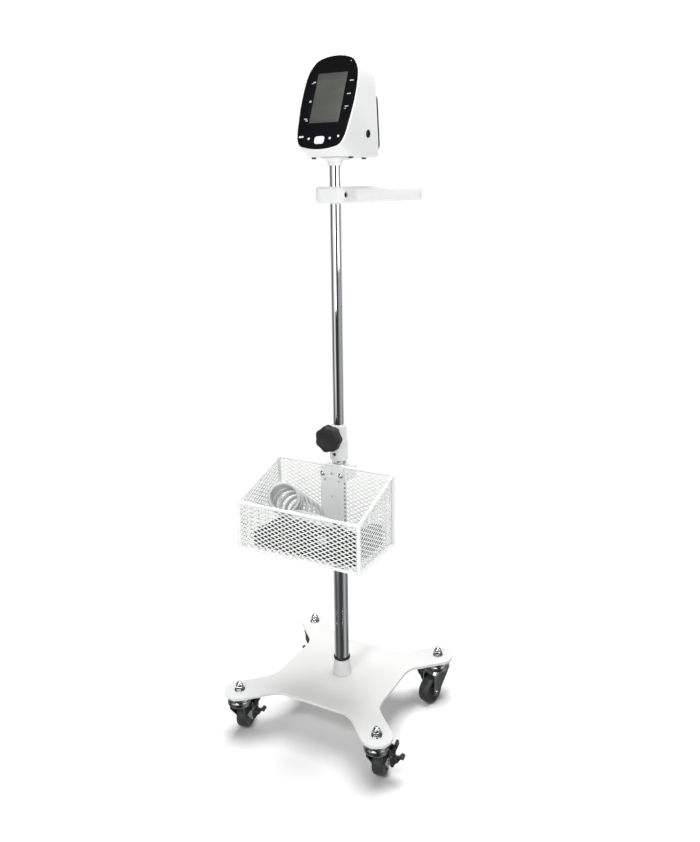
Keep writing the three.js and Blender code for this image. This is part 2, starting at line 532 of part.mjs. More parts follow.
function addMonitor(parent) {
  const face = new THREE.Group();
  face.position.set(0, FACE.y, FACE.z);
  face.rotation.x = Math.PI / 2 - LEAN;
  face.updateMatrix();
  parent.add(face);
  const onFace = (geometry) => geometry.applyMatrix4(face.matrix);

  // In the cover group +Z points out of the casing's back.
  const cover = new THREE.Group();
  cover.position.set(0, COVER.y, COVER.z);
  cover.rotation.x = COVER.lean - Math.PI / 2;
  cover.updateMatrix();
  parent.add(cover);
  const opening = (by) => roundedBox(COVER.x - COVER.lip + by, COVER.half - COVER.lip + by, 8);

  const egg = faceOutline();
  // The upright corners at the back are rounded by a prism that leans with the back.
  const rearPrism = (inset) => {
    const x = REAR_CORNER.x - inset;
    const r = REAR_CORNER.r - inset;
    const plan = rounded([[-x, -160, 1], [x, -160, 1], [x, -inset, r], [-x, -inset, r]]);
    return toSolid(slab(plan, -100, 150, 6).rotateX(COVER.lean).translate(0, COVER.y, COVER.z));
  };
  // Below its widest line the casing runs square to its face, and above that line straight back.
  const deep = 150;
  const shellSolid = (by, front, chamfer) => {
    const outline = grow(egg, by);
    const square = toSolid(onFace(slab(polygon(outline), -deep, front, 1, chamfer)));
    const upright = outline.map(([u, v]) => [u, FACE.z + v * Math.cos(LEAN)]);
    const behindFace = toSolid(onFace(box(-80, 80, -130, 130, -2 * deep, front - chamfer)));
    return square.add(toSolid(slabY(polygon(upright), -90, 90, 1)).intersect(behindFace));
  };
  const outer = shellSolid(RIM, 0, 1.4)
    .intersect(toSolid(slabX(polygon(PROFILE), -70, 70, 1)))
    .intersect(rearPrism(0));
  const inner = shellSolid(RIM - SHELL, -4, 0.6)
    .intersect(toSolid(slabX(polygon(grow(PROFILE, -SHELL)), -60, 60, 1)))
    .intersect(rearPrism(SHELL));
  const casing = cut(
    outer.subtract(inner),
    onFace(slab(polygon(grow(egg, GAP)), -5.6, 5, 1)),
    slab(opening(0), -12, 12, 3).applyMatrix4(cover.matrix),
    rod([40, PORT.y, PORT.z], [70, PORT.y, PORT.z], PORT.r + GAP, 20),
  );
  mesh('monitor_casing', casing, WHITE_PLASTIC, parent);

  const panel = slab(roundedBox(COVER.x, COVER.half, 14), GAP, COVER.thick, 3, 1.8);
  mesh('rear_cover', join(panel, slab(opening(-GAP), -5, 1, 3)), REAR_GREY, cover);

  const screenHalf = (SCREEN.high - SCREEN.low) / 2;
  const window = roundedBox(SCREEN.x, screenHalf, 1.5, 0, SCREEN.low + screenHalf);
  const holes = Object.values(BUTTONS).map(
    ([x, v, halfX, halfV, r]) => roundedBox(halfX + GAP, halfV + GAP, r, x, v));
  const bezel = cut(
    toSolid(slab(polygon(egg), -BEZEL_THICK, 0.4, 1, 0.5)),
    slab(window, -10, 5, 1),
    ...holes.map((hole) => slab(hole, -10, 5, 3)),
  );
  mesh('front_bezel', bezel, GLOSS_BLACK, face);

  const behind = -BEZEL_THICK - GAP;
  const module = box(-SCREEN.x - 2, SCREEN.x + 2, SCREEN.low - 2, SCREEN.high + 2, behind - 3, behind);
  const lens = box(-SCREEN.x + 0.7, SCREEN.x - 0.7, SCREEN.low + 0.7, SCREEN.high - 0.7, behind - 1, -0.6);
  mesh('display', join(module, lens), LCD, face);
  mesh('circuit_board', box(-38, 38, -86, 58, behind - 6, behind - 4.4), BOARD_GREEN, face);
  for (const [name, [x, v, halfX, halfV, r]] of Object.entries(BUTTONS)) {
    const cap = slab(roundedBox(halfX, halfV, r, x, v), behind - 1, 1, 3, 0.3);
    const flange = slab(roundedBox(halfX + 1.2, halfV + 1.2, r, x, v), behind - 1.8, behind, 3);
    mesh(name, join(cap, flange), WHITE_PLASTIC, face);
  }

  const pump = join(rod([-34, 12, 1103], [-4, 12, 1103], 13, 20), rod([-6, 12, 1103], [8, 12, 1103], 9, 16));
  mesh('air_pump', pump, STEEL, parent);
  const valve = join(rod([16, 10, 1096], [34, 10, 1096], 7, 16), rod([32, 10, 1096], [40, 10, 1096], 2, 10));
  mesh('deflate_valve', valve, STEEL, parent);
  mesh('battery_pack', box(-31, 31, 30, 58, 1087, 1145), BLACK_PLASTIC, parent);

  const barrel = (to, r) => rod([45.5, PORT.y, PORT.z], [to, PORT.y, PORT.z], r, 20);
  const socket = join(barrel(54, PORT.r), barrel(49.6, PORT.flange));
  const slot = slabX(roundedBox(1.9, 4.1, 1.7, PORT.y, PORT.z), 48.5, 60, 3);
  mesh('side_socket', cut(socket, slot), BLACK_PLASTIC, parent);
}

const root = new THREE.Group();
addBase(root);
CASTORS.forEach((castor) => addCastor(castor, root));
addClamp(root);
addBasket(root);
addCuff(root);
addMast(root);
addMonitor(root);

export default root;
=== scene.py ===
"""A blood pressure monitor on a wheeled pole stand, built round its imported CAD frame.

Lengths in the tables are millimetres, and every mesh is scaled to metres as it is made.
-Y is the front, and the origin is on the floor under the pole.
"""
import json
import math

import bmesh
import bpy
from mathutils import Matrix, Vector, noise

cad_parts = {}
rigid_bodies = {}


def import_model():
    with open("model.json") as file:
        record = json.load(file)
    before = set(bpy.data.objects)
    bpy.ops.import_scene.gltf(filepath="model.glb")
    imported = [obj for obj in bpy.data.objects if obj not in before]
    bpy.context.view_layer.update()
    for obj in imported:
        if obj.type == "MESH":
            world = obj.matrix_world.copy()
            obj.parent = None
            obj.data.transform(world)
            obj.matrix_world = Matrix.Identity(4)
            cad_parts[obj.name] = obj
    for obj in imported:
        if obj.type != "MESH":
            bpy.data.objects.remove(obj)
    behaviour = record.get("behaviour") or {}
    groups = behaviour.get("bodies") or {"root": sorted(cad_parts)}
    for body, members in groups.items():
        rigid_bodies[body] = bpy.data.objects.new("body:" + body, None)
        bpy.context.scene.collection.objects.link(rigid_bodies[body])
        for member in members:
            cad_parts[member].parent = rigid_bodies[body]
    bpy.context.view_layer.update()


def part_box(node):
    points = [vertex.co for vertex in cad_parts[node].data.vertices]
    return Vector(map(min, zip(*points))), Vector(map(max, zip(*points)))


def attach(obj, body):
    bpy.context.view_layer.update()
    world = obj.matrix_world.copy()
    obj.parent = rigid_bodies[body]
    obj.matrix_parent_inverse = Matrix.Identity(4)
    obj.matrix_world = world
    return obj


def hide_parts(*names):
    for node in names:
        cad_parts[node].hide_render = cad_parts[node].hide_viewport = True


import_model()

MM = 0.001


def low_high(node):
    """A CAD node's lowest and highest corners in millimetres."""
    low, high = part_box(node)
    return low / MM, high / MM


# ---------------------------------------------------------------- driving dimensions
PLATE_LOW, PLATE_HIGH = low_high("base_plate")
PLATE_TOP = PLATE_HIGH.z
PLATE_UNDER = PLATE_LOW.z
BODY_X, BODY_Y = 112, 111
STEM_X, STEM_Y = 145, 140.2
ARM_HALF = 28.5
ARM_BLEND = 45

LOWER_R, LOWER_BORE = 14, 12.4
UPPER_R, UPPER_BORE = 10.5, 9.3
GAP = 0.3

TRAIL = 25
WHEEL_R = 26
CASTORS = {
    "front_left": (-STEM_X, -STEM_Y, 100),
    "front_right": (STEM_X, -STEM_Y, 98),
    "back_right": (STEM_X, STEM_Y, -105),
    "back_left": (-STEM_X, STEM_Y, -12),
}
PEDAL_OUT, PEDAL_Z = 25.2, 53

KNOB_Z = 575.8
SET_SCREW_Z = 540
BASKET_X, BASKET_FRONT, BASKET_BACK = 121, -155, -21
BASKET_FLOOR, BASKET_FRONT_TOP, BASKET_BACK_TOP = 389.5, 474.5, 519
POST_R, RIM_R = 3.5, 2.8
SCREW_X, SCREW_Z = 19, 504.7

BOLT_Y = -14.5

LEAN = math.radians(23.3)
FACE_Y, FACE_Z = -19.7, 1182.3
EGG = [
    (8, -97.7), (24, -95.3), (37, -91), (43.5, -82), (47.5, -66), (49.5, -46), (51.3, -23), (52, 0),
    (51, 23), (49, 41), (45, 54), (37.5, 66.5), (27, 73.5), (9, 77.6),
]
RIM = 3.3
SHELL = 2.6
CASING_UNDER = 1080.5
PROFILE = [
    (-75, CASING_UNDER), (70, CASING_UNDER), (73.8, 1088), (72.8, 1100), (64, 1188), (57, 1225),
    (49.5, 1243), (36, 1254), (26, 1256.5), (-75, 1256.5),
]
COVER_Y, COVER_Z, COVER_LEAN = 68.6, 1142, math.radians(5.7)
COVER_X, COVER_HALF, COVER_THICK, COVER_LIP, COVER_BULGE = 51.6, 52, 4, 6, 2.2
REAR_X, REAR_R = 54.5, 12
SCREEN_X, SCREEN_LOW, SCREEN_HIGH = 29.5, -49, 46
PORT_Y, PORT_Z, PORT_R = 25, 1120, 7

HOSE_R = 3
COIL_LINE_R = 26.5
COIL_TURNS = 7
COIL_START = Vector((-63.7, -100, 474.3))
COIL_NORMAL = Vector((0.514, -0.778, 0.361)).normalized()

# ---------------------------------------------------------------- camera
CAMERA_AT = Vector((0.7160, -1.2832, 1.0229))
CAMERA_AZIMUTH = math.radians(28.26)
CAMERA_ELEVATION = math.radians(9.72)
CAMERA_ROLL = math.radians(-0.664)


def add_camera():
    data = bpy.data.cameras.new("camera")
    data.lens = 34.89
    data.sensor_width = 36
    data.shift_y = -0.1081
    data.clip_end = 60
    camera = bpy.data.objects.new("camera", data)
    a, e = CAMERA_AZIMUTH, CAMERA_ELEVATION
    back = Vector((math.sin(a) * math.cos(e), -math.cos(a) * math.cos(e), math.sin(e)))
    level = Vector((math.cos(a), math.sin(a), 0))
    upright = back.cross(level)
    right = level * math.cos(CAMERA_ROLL) + upright * math.sin(CAMERA_ROLL)
    up = back.cross(right)
    camera.matrix_world = Matrix.Translation(CAMERA_AT) @ Matrix((right, up, back)).transposed().to_4x4()
    bpy.context.scene.collection.objects.link(camera)
    bpy.context.scene.camera = camera


add_camera()


# ---------------------------------------------------------------- materials
def add_node(nodes, kind, inputs=None, **settings):
    """A shader node with its settings, then the values of its inputs."""
    node = nodes.new("ShaderNode" + kind)
    for key, value in settings.items():
        setattr(node, key, value)
    for socket, value in (inputs or {}).items():
        node.inputs[socket].default_value = value
    return node


def principled(name, color, roughness, metallic=0.0, specular=0.5, coat=0.0):
    material = bpy.data.materials.new(name)
    material.use_nodes = True
    shader = material.node_tree.nodes["Principled BSDF"]
    shader.inputs["Base Color"].default_value = (*color, 1)
    shader.inputs["Roughness"].default_value = roughness
    shader.inputs["Metallic"].default_value = metallic
    shader.inputs["Specular IOR Level"].default_value = specular
    shader.inputs["Coat Weight"].default_value = coat
    shader.inputs["Coat Roughness"].default_value = 0.08
    return material, material.node_tree.nodes, material.node_tree.links, shader


def noise_node(nodes, links, scale, detail=3.0, stretch=(1, 1, 1)):
    place = add_node(nodes, "TexCoord")
    mapping = add_node(nodes, "Mapping", {"Scale": stretch})
    texture = add_node(nodes, "TexNoise", {"Scale": scale, "Detail": detail})
    links.new(place.outputs["Object"], mapping.inputs["Vector"])
    links.new(mapping.outputs["Vector"], texture.inputs["Vector"])
    return texture


def surface(name, color, roughness, metallic=0.0, tint=0.04, grain=900, bump=0.06, wear=0.06,
            stretch=(1, 1, 1), specular=0.5, coat=0.0):
    """A material whose colour, gloss and height all vary a little over the piece."""
    material, nodes, links, shader = principled(name, color, roughness, metallic, specular, coat)
    broad = noise_node(nodes, links, 18, stretch=stretch)
    ramp = add_node(nodes, "ValToRGB")
    ramp.color_ramp.elements[0].position = 0.3
    ramp.color_ramp.elements[1].position = 0.7
    ramp.color_ramp.elements[0].color = (*[max(c * (1 - tint), 0) for c in color], 1)
    ramp.color_ramp.elements[1].color = (*[min(c * (1 + tint), 1) for c in color], 1)
    links.new(broad.outputs["Fac"], ramp.inputs["Fac"])
    links.new(ramp.outputs["Color"], shader.inputs["Base Color"])
    gloss = add_node(nodes, "MapRange", {"To Min": max(roughness - wear, 0.02),
                                         "To Max": min(roughness + wear, 1)})
    links.new(broad.outputs["Fac"], gloss.inputs["Value"])
    links.new(gloss.outputs["Result"], shader.inputs["Roughness"])
    if bump:
        fine = noise_node(nodes, links, grain, 2.0, stretch)
        height = add_node(nodes, "Bump", {"Strength": bump, "Distance": 0.0003})
        links.new(fine.outputs["Fac"], height.inputs["Height"])
        links.new(height.outputs["Normal"], shader.inputs["Normal"])
    return material


def woven():
    """Dark nylon cloth: two crossed sets of threads."""
    material, nodes, links, shader = principled("cuff_cloth", (0.028, 0.031, 0.042), 0.85, specular=0.25)
    shader.inputs["Sheen Weight"].default_value = 0.12
    place = add_node(nodes, "TexCoord")
    threads = []
    for direction in ("X", "Z"):
        wave = add_node(nodes, "TexWave", {"Scale": 320, "Distortion": 0.6}, bands_direction=direction)
        links.new(place.outputs["Object"], wave.inputs["Vector"])
        threads.append(wave)
    weave = add_node(nodes, "Math", operation="MAXIMUM")
    links.new(threads[0].outputs["Fac"], weave.inputs[0])
    links.new(threads[1].outputs["Fac"], weave.inputs[1])
    ramp = add_node(nodes, "ValToRGB")
    ramp.color_ramp.elements[0].color = (0.007, 0.008, 0.011, 1)
    ramp.color_ramp.elements[1].color = (0.026, 0.029, 0.038, 1)
    links.new(weave.outputs["Value"], ramp.inputs["Fac"])
    links.new(ramp.outputs["Color"], shader.inputs["Base Color"])
    height = add_node(nodes, "Bump", {"Strength": 0.5, "Distance": 0.0006})
    links.new(weave.outputs["Value"], height.inputs["Height"])
    links.new(height.outputs["Normal"], shader.inputs["Normal"])
    return material


def chrome(name, roughness=0.06):
    """Bright plate with faint lengthwise polishing marks."""
    return surface(name, (0.83, 0.84, 0.86), roughness, 1.0, tint=0.01, grain=260, bump=0.015, wear=0.025,
                   stretch=(1, 1, 0.05))


WHITE_PAINT = surface("white_powder_coat", (0.86, 0.87, 0.86), 0.38, tint=0.012, grain=700, bump=0.10)
WHITE_PLASTIC = surface("white_moulding", (0.81, 0.815, 0.815), 0.3, tint=0.008, grain=1500, bump=0.03)
# A darker copy of the white powder coat, for the base plate and the pole collar: painted shade, so they read
# less lit than the other white paint.
SHADED_WHITE_PAINT = surface("white_paint_painted_shade", (0.72, 0.725, 0.715), 0.38, tint=0.012, grain=700, bump=0.10)
CHROME = chrome("chrome_tube")
BRIGHT = surface("bright_nut", (0.8, 0.81, 0.83), 0.08, 1.0, tint=0.01, grain=600, bump=0.01, wear=0.02)
STEEL = surface("zinc_steel", (0.55, 0.56, 0.57), 0.32, 1.0, tint=0.05, grain=500, bump=0.05)
DARK_STEEL = surface("blacked_steel", (0.10, 0.10, 0.105), 0.3, 0.9, tint=0.1, grain=500, bump=0.05)
BLACK = surface("black_moulding", (0.018, 0.018, 0.02), 0.42, tint=0.1, grain=900, bump=0.12)
KNOB_BLACK = surface("knob_moulding", (0.014, 0.014, 0.015), 0.5, tint=0.1, grain=700, bump=0.2)
GLOSS = surface("gloss_panel", (0.006, 0.006, 0.007), 0.14, tint=0.1, bump=0.0, wear=0.02, specular=0.28)
TYRE = surface("grey_black_rubber", (0.032, 0.033, 0.035), 0.5, tint=0.12, grain=500, bump=0.15)
FORK = surface("bright_fork", (0.38, 0.385, 0.395), 0.18, 1.0, tint=0.05, grain=500, bump=0.03)
HUB = surface("hub_moulding", (0.02, 0.02, 0.022), 0.35, tint=0.1, grain=900, bump=0.08)
NYLON = surface("natural_nylon", (0.75, 0.75, 0.72), 0.45, tint=0.03)
LCD = surface("lcd_glass", (0.078, 0.086, 0.071), 0.3, tint=0.1, grain=40, bump=0.0, wear=0.03)
LCD_EDGE = surface("lcd_border", (0.070, 0.070, 0.072), 0.3, tint=0.05, bump=0.0)
SEGMENT = surface("lcd_segment", (0.066, 0.073, 0.061), 0.3, tint=0.05, bump=0.0)
PRINT = surface("pale_print", (0.42, 0.43, 0.44), 0.5, tint=0.05, bump=0.0)
KEY = surface("key_moulding", (0.80, 0.82, 0.82), 0.3, tint=0.02, bump=0.02)
HOSE = surface("grey_hose", (0.56, 0.57, 0.575), 0.34, tint=0.04, grain=400, bump=0.04)
REAR = surface("dark_rear_moulding", (0.045, 0.046, 0.05), 0.4, tint=0.08, grain=1100, bump=0.12)
FOOT = surface("foot_rubber", (0.06, 0.06, 0.062), 0.7, tint=0.1, grain=600, bump=0.1)
# Near-black: the set screw's own black, and painted shade for the inside of the side port.
BLACK_AND_PORT_SHADE = surface("black_and_port_shade", (0.01, 0.01, 0.01), 0.7, tint=0.1, bump=0.0)
TAG = surface("pale_tag", (0.62, 0.62, 0.6), 0.8, tint=0.05, grain=1500, bump=0.2)
CLOTH = woven()


# ---------------------------------------------------------------- meshes
def closed_up(mesh, merge=1e-6):
    """Merges doubled points and turns every face outwards."""
    work = bmesh.new()
    work.from_mesh(mesh)
    bmesh.ops.remove_doubles(work, verts=work.verts, dist=merge)
    bmesh.ops.recalc_face_normals(work, faces=work.faces)
    work.to_mesh(mesh)
    work.free()
    return mesh


def make_mesh(verts, faces, matrix=Matrix.Identity(4)):
    """A mesh in metres from points in millimetres, placed by matrix, whose lengths are millimetres too."""
    mesh = bpy.data.meshes.new("work")
    mesh.from_pydata([(matrix @ Vector(v)) * MM for v in verts], [], faces)
    return closed_up(mesh)


def joined(*meshes):
    """Several meshes as one."""
    work = bmesh.new()
    for mesh in meshes:
        work.from_mesh(mesh)
    whole = bpy.data.meshes.new("work")
    work.to_mesh(whole)
    work.free()
    return whole


def piece(name, mesh, material, body, replaces=(), sharp=32):
    """A shown piece that rides on a body."""
    mesh.name = name
    mesh.materials.clear()
    mesh.materials.append(material)
    mesh.shade_smooth()
    mesh.set_sharp_from_angle(angle=math.radians(sharp))
    obj = bpy.data.objects.new(name, mesh)
    bpy.context.scene.collection.objects.link(obj)
    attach(obj, body)
    if replaces:
        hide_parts(*replaces)
    return obj


def modified(mesh, *modifiers):
    """The mesh after modifiers, each a type and its settings."""
    obj = bpy.data.objects.new("work", mesh)
    bpy.context.scene.collection.objects.link(obj)
    for kind, settings in modifiers:
        modifier = obj.modifiers.new(kind.lower(), kind)
        for key, value in settings.items():
            setattr(modifier, key, value)
    bpy.context.view_layer.update()
    graph = bpy.context.evaluated_depsgraph_get()
    result = bpy.data.meshes.new_from_object(obj.evaluated_get(graph))
    bpy.data.objects.remove(obj)
    return result


def cut(mesh, other, operation="DIFFERENCE"):
    tool = bpy.data.objects.new("tool", other)
    bpy.context.scene.collection.objects.link(tool)
    result = modified(mesh, ("BOOLEAN", {"operation": operation, "object": tool, "solver": "EXACT"}))
    bpy.data.objects.remove(tool)
    return result


def cast(mesh, voxel, rounds=4):
    """Blends joined solids into one skin with soft fillets."""
    return modified(
        mesh,
        ("REMESH", {"mode": "VOXEL", "voxel_size": voxel * MM, "use_smooth_shade": True}),
        ("SMOOTH", {"factor": 0.5, "iterations": rounds}),
    )


def lathe(profile, segments=96, matrix=Matrix.Identity(4)):
    """Turns [radius, height] points round Z. A profile that ends where it starts makes a ring."""
    ring_shaped = profile[0] == profile[-1]
    points = profile[:-1] if ring_shaped else profile
    verts, rows = [], []
    for r, h in points:
        count = 1 if r < 1e-6 else segments
        rows.append(range(len(verts), len(verts) + count))
        for i in range(count):
            angle = 2 * math.pi * i / segments
            verts.append((r * math.cos(angle), r * math.sin(angle), h))
    faces = []
    ends = list(zip(rows, rows[1:]))
    if ring_shaped:
        ends.append((rows[-1], rows[0]))
    for below, above in ends:
        for i in range(segments):
            j = (i + 1) % segments
            corners = [below[i % len(below)], below[j % len(below)], above[j % len(above)],
                       above[i % len(above)]]
            face = list(dict.fromkeys(corners))
            if len(face) > 2:
                faces.append(face)
    return make_mesh(verts, faces, matrix)


def softened(profile, r=0.6, steps=3):
    """Rounds each corner of a closed [radius, height] profile."""
    points = profile[:-1]
    soft = []
    for i, here in enumerate(points):
        here = Vector(here)
        before = Vector(points[i - 1]) - here
        after = Vector(points[(i + 1) % len(points)]) - here
        reach = min(r, before.length * 0.45, after.length * 0.45)
        start = here + before.normalized() * reach
        end = here + after.normalized() * reach
        for step in range(steps + 1):
            t = step / steps
            soft.append(tuple(start * (1 - t) ** 2 + here * 2 * t * (1 - t) + end * t ** 2))
    soft.append(soft[0])
    return soft


def collar_ring(inner, outer, low, high, r=0.5, segments=96, matrix=Matrix.Identity(4)):
    profile = [(inner, low), (outer, low), (outer, high), (inner, high), (inner, low)]
    return lathe(softened(profile, r), segments, matrix)


def rounded(corners, steps=8):
    """A closed outline from [x, y, radius] corners, with the corners as arcs."""
    outline = []
    for i, (x, y, r) in enumerate(corners):
        here = Vector((x, y))
        before = (Vector(corners[i - 1][:2]) - here).normalized()
        after = (Vector(corners[(i + 1) % len(corners)][:2]) - here).normalized()
        half = math.acos(max(-1, min(1, before.dot(after)))) / 2
        reach = r / math.tan(half)
        centre = here + (before + after).normalized() * (r / math.sin(half))
        start = here + before * reach - centre
        end = here + after * reach - centre
        turn = math.atan2(start.x * end.y - start.y * end.x, start.dot(end))
        base = math.atan2(start.y, start.x)
        for step in range(steps + 1):
            angle = base + turn * step / steps
            outline.append((centre.x + r * math.cos(angle), centre.y + r * math.sin(angle)))
    return outline


def box_outline(half_x, half_y, r, x=0, y=0, steps=8):
    corners = [(-half_x, -half_y), (half_x, -half_y), (half_x, half_y), (-half_x, half_y)]
    return rounded([(x + cx, y + cy, r) for cx, cy in corners], steps)


def ring_outline(x, y, r, steps=48):
    return [
        (x + r * math.cos(2 * math.pi * i / steps), y + r * math.sin(2 * math.pi * i / steps))
        for i in range(steps)
    ]


def plate(outline, low, high, bevel=0.6, holes=(), matrix=Matrix.Identity(4), steps=3):
    """An outline with holes, given thickness along Z and rounded edges."""
    curve = bpy.data.curves.new("work", "CURVE")
    curve.dimensions = "2D"
    curve.fill_mode = "BOTH"
    curve.extrude = (high - low) / 2 - bevel
    curve.bevel_depth = bevel
    curve.bevel_resolution = steps
    curve.offset = -bevel
    for loop, turn in [(outline, 1), *((hole, -1) for hole in holes)]:
        area = sum(a[0] * b[1] - b[0] * a[1] for a, b in zip(loop, loop[1:] + loop[:1]))
        ordered = loop if area * turn > 0 else loop[::-1]
        spline = curve.splines.new("POLY")
        spline.points.add(len(ordered) - 1)
        for point, (x, y) in zip(spline.points, ordered):
            point.co = (x, y, 0, 1)
        spline.use_cyclic_u = True
    obj = bpy.data.objects.new("work", curve)
    bpy.context.scene.collection.objects.link(obj)
    bpy.context.view_layer.update()
    graph = bpy.context.evaluated_depsgraph_get()
    mesh = bpy.data.meshes.new_from_object(obj.evaluated_get(graph))
    bpy.data.objects.remove(obj)
    mesh.transform(Matrix.Scale(MM, 4) @ matrix @ Matrix.Translation((0, 0, (low + high) / 2)))
    return closed_up(mesh)


def sweep(points, r, sides=24, cap=True):
    """A round tube along points, in millimetres."""
    path = [Vector(p) for p in points]
    count = len(path)
    tangents = [(path[min(i + 1, count - 1)] - path[max(i - 1, 0)]).normalized() for i in range(count)]
    side = tangents[0].orthogonal().normalized()
    verts, faces = [], []
    for i in range(count):
        side = (side - tangents[i] * side.dot(tangents[i])).normalized()
        other = tangents[i].cross(side)
        for k in range(sides):
            angle = 2 * math.pi * k / sides
            verts.append(path[i] + (side * math.cos(angle) + other * math.sin(angle)) * r)
        if i:
            for k in range(sides):
                j = (k + 1) % sides
                faces.append(((i - 1) * sides + k, (i - 1) * sides + j, i * sides + j, i * sides + k))
    if cap:
        faces.append(tuple(range(sides - 1, -1, -1)))
        faces.append(tuple((count - 1) * sides + k for k in range(sides)))
    return make_mesh(verts, faces)


def spline_point(a, b, c, d, t):
    """The point a share t of the way from b to c on the Catmull-Rom curve through four points."""
    return (b * 2 + (c - a) * t + (a * 2 - b * 5 + c * 4 - d) * t ** 2
            + (b * 3 - a - c * 3 + d) * t ** 3) / 2


def smooth_path(points, steps=12):
    """A Catmull-Rom curve through the points."""
    guides = [Vector(p) for p in points]
    guides = [guides[0] * 2 - guides[1], *guides, guides[-1] * 2 - guides[-2]]
    path = []
    for a, b, c, d in zip(guides, guides[1:], guides[2:], guides[3:]):
        path += [spline_point(a, b, c, d, step / steps) for step in range(steps)]
    path.append(guides[-2])
    return path


def along_x(x=0, y=0, z=0):
    """Local X, Y and Z become the frame's Y, Z and X."""
    turn = Matrix(((0, 0, 1), (1, 0, 0), (0, 1, 0))).to_4x4()
    return Matrix.Translation((x, y, z)) @ turn


def facing_front(x=0, y=0, z=0):
    """Local X, Y and Z become the frame's X, Z and -Y."""
    return Matrix.Translation((x, y, z)) @ Matrix.Rotation(math.pi / 2, 4, "X")


FACE = Matrix.Translation((0, FACE_Y, FACE_Z)) @ Matrix.Rotation(math.pi / 2 - LEAN, 4, "X")
COVER = Matrix.Translation((0, COVER_Y, COVER_Z)) @ Matrix.Rotation(COVER_LEAN - math.pi / 2, 4, "X")


def screw_head(r, thick, matrix, recess="cross"):
    """A domed screw head with a recess, its flat side at local z = 0."""
    dome = [(0, thick)] + [
        (r * math.sin(a * math.pi / 20), thick * math.cos(a * math.pi / 20) * 0.85 + thick * 0.15)
        for a in range(1, 11)
    ]
    dome += [(r, 0), (0, 0)]
    head = lathe(dome, 40, matrix)
    if recess == "cross":
        arm = r * 0.62
        for half_x, half_y in ((arm, r * 0.13), (r * 0.13, arm)):
            head = cut(head, plate(box_outline(half_x, half_y, r * 0.1), thick * 0.45, thick * 2, 0.02,
                                   matrix=matrix))
    else:
        hexagon = [(r * 0.5 * math.cos(k * math.pi / 3), r * 0.5 * math.sin(k * math.pi / 3))
                   for k in range(6)]
        head = cut(head, plate(hexagon, thick * 0.3, thick * 2, 0.02, matrix=matrix))
    return head


# ---------------------------------------------------------------- air hose, from the cuff to its connector
LEAD_CUFF = [(54, -121.5, 456), (36, -118, 457.6), (16, -113.8, 458), (-4, -110.5, 457.4),
             (-23, -108, 456.4)]
LEAD_END = [(24, -47, 398.2), (44, -46.5, 398.8), (64, -49, 399)]
FIRST_TURN_R = 24.5
COIL_RIGHT = Vector((0.834, 0.551, 0)).normalized()
COIL_UP = COIL_NORMAL.cross(COIL_RIGHT)
# Each turn's shift from the one before it: back along the coil, to the right, and up.
TURN_SHIFTS = [(6.4, 4, -3)] * 3 + [(6.4, 9, -7)] * 4


def coil_centre(turn):
    """The coil's centre after a number of turns."""
    centre = COIL_START.copy()
    for k, (back, right, up) in enumerate(TURN_SHIFTS):
        share = max(0, min(1, turn - k))
        centre += (COIL_RIGHT * right + COIL_UP * up - COIL_NORMAL * back) * share
    return centre


def hose_line():
    """The centreline: the lead from the cuff, the turns, then the end that lies on the basket's floor."""
    turns = []
    steps = 48
    # The turns run clockwise as seen from the front, from the bottom of the first to the right of the last.
    for i in range(int((COIL_TURNS - 0.25) * steps) + 1):
        turn = i / steps
        angle = -math.pi / 2 - 2 * math.pi * turn
        r = FIRST_TURN_R + (COIL_LINE_R - FIRST_TURN_R) * min(turn / 0.75, 1)
        turns.append(coil_centre(turn) + (COIL_RIGHT * math.cos(angle) + COIL_UP * math.sin(angle)) * r)
    lead = smooth_path([*LEAD_CUFF, (-42, -107.5, 452), turns[0]], 10)[:-1]
    last = turns[-1]
    down = [last, last + Vector((2.8, -4.2, -13)), last + Vector((10, -8, -22)), (6, -49.5, 398.6),
            *LEAD_END]
    return [*lead, *turns, *smooth_path(down, 10)[1:]]


def add_hose():
    line = hose_line()
    x, y, z = LEAD_END[-1]
    along = (Vector(LEAD_END[-1]) - Vector(LEAD_END[-2]))
    along.z = 0
    turn = along.to_track_quat("Z", "Y").to_matrix().to_4x4()
    seat = Matrix.Translation((x, y, z)) @ turn
    body = lathe(softened([(2.2, 0.8), (4.4, 0.8), (4.4, 4), (3.9, 4.6), (3.9, 9), (4.4, 9.6), (4.4, 13),
                           (3, 13.6), (3, 17), (3.3, 17.4), (3, 18.6), (3, 20.4), (1.6, 21), (1.6, 12),
                           (2.2, 12), (2.2, 0.8)], 0.3), 48, seat)
    connector = piece("hose_connector_fitting", body, NYLON, "stand", ["hose_connector"])
    nx, ny, nz = LEAD_CUFF[0]
    top = 444
    foot = lathe([(0, top + GAP), (8, top + GAP), (8, top + 0.9), (7.2, top + 2.2), (5, top + 2.9),
                  (3.9, top + 4.4), (3.6, top + 6), (3.6, nz + 1.5), (3.2, nz + 3), (2, nz + 3.7),
                  (0, nz + 3.9)], 48, Matrix.Translation((nx + 13, ny, 0)))
    elbow = sweep([(nx + 1, ny, nz), (nx + 1.4, ny, nz), (nx + 12, ny, nz), (nx + 13, ny, nz)], 3.3, 32)
    lip = lathe(softened([(2, 0), (3.9, 0), (3.9, 2.2), (2, 2.2), (2, 0)], 0.4), 40,
                along_x(nx + 0.8, ny, nz))
    nipple = piece("cuff_nipple_fitting", joined(foot, elbow, lip), BLACK, "stand",
                   ["cuff_nipple"])
    tube = piece("air_hose", sweep(line, HOSE_R, 20), HOSE, "stand",
                 ["hose_lead_cuff", "hose_coil", "hose_lead_end"], 60)


add_hose()


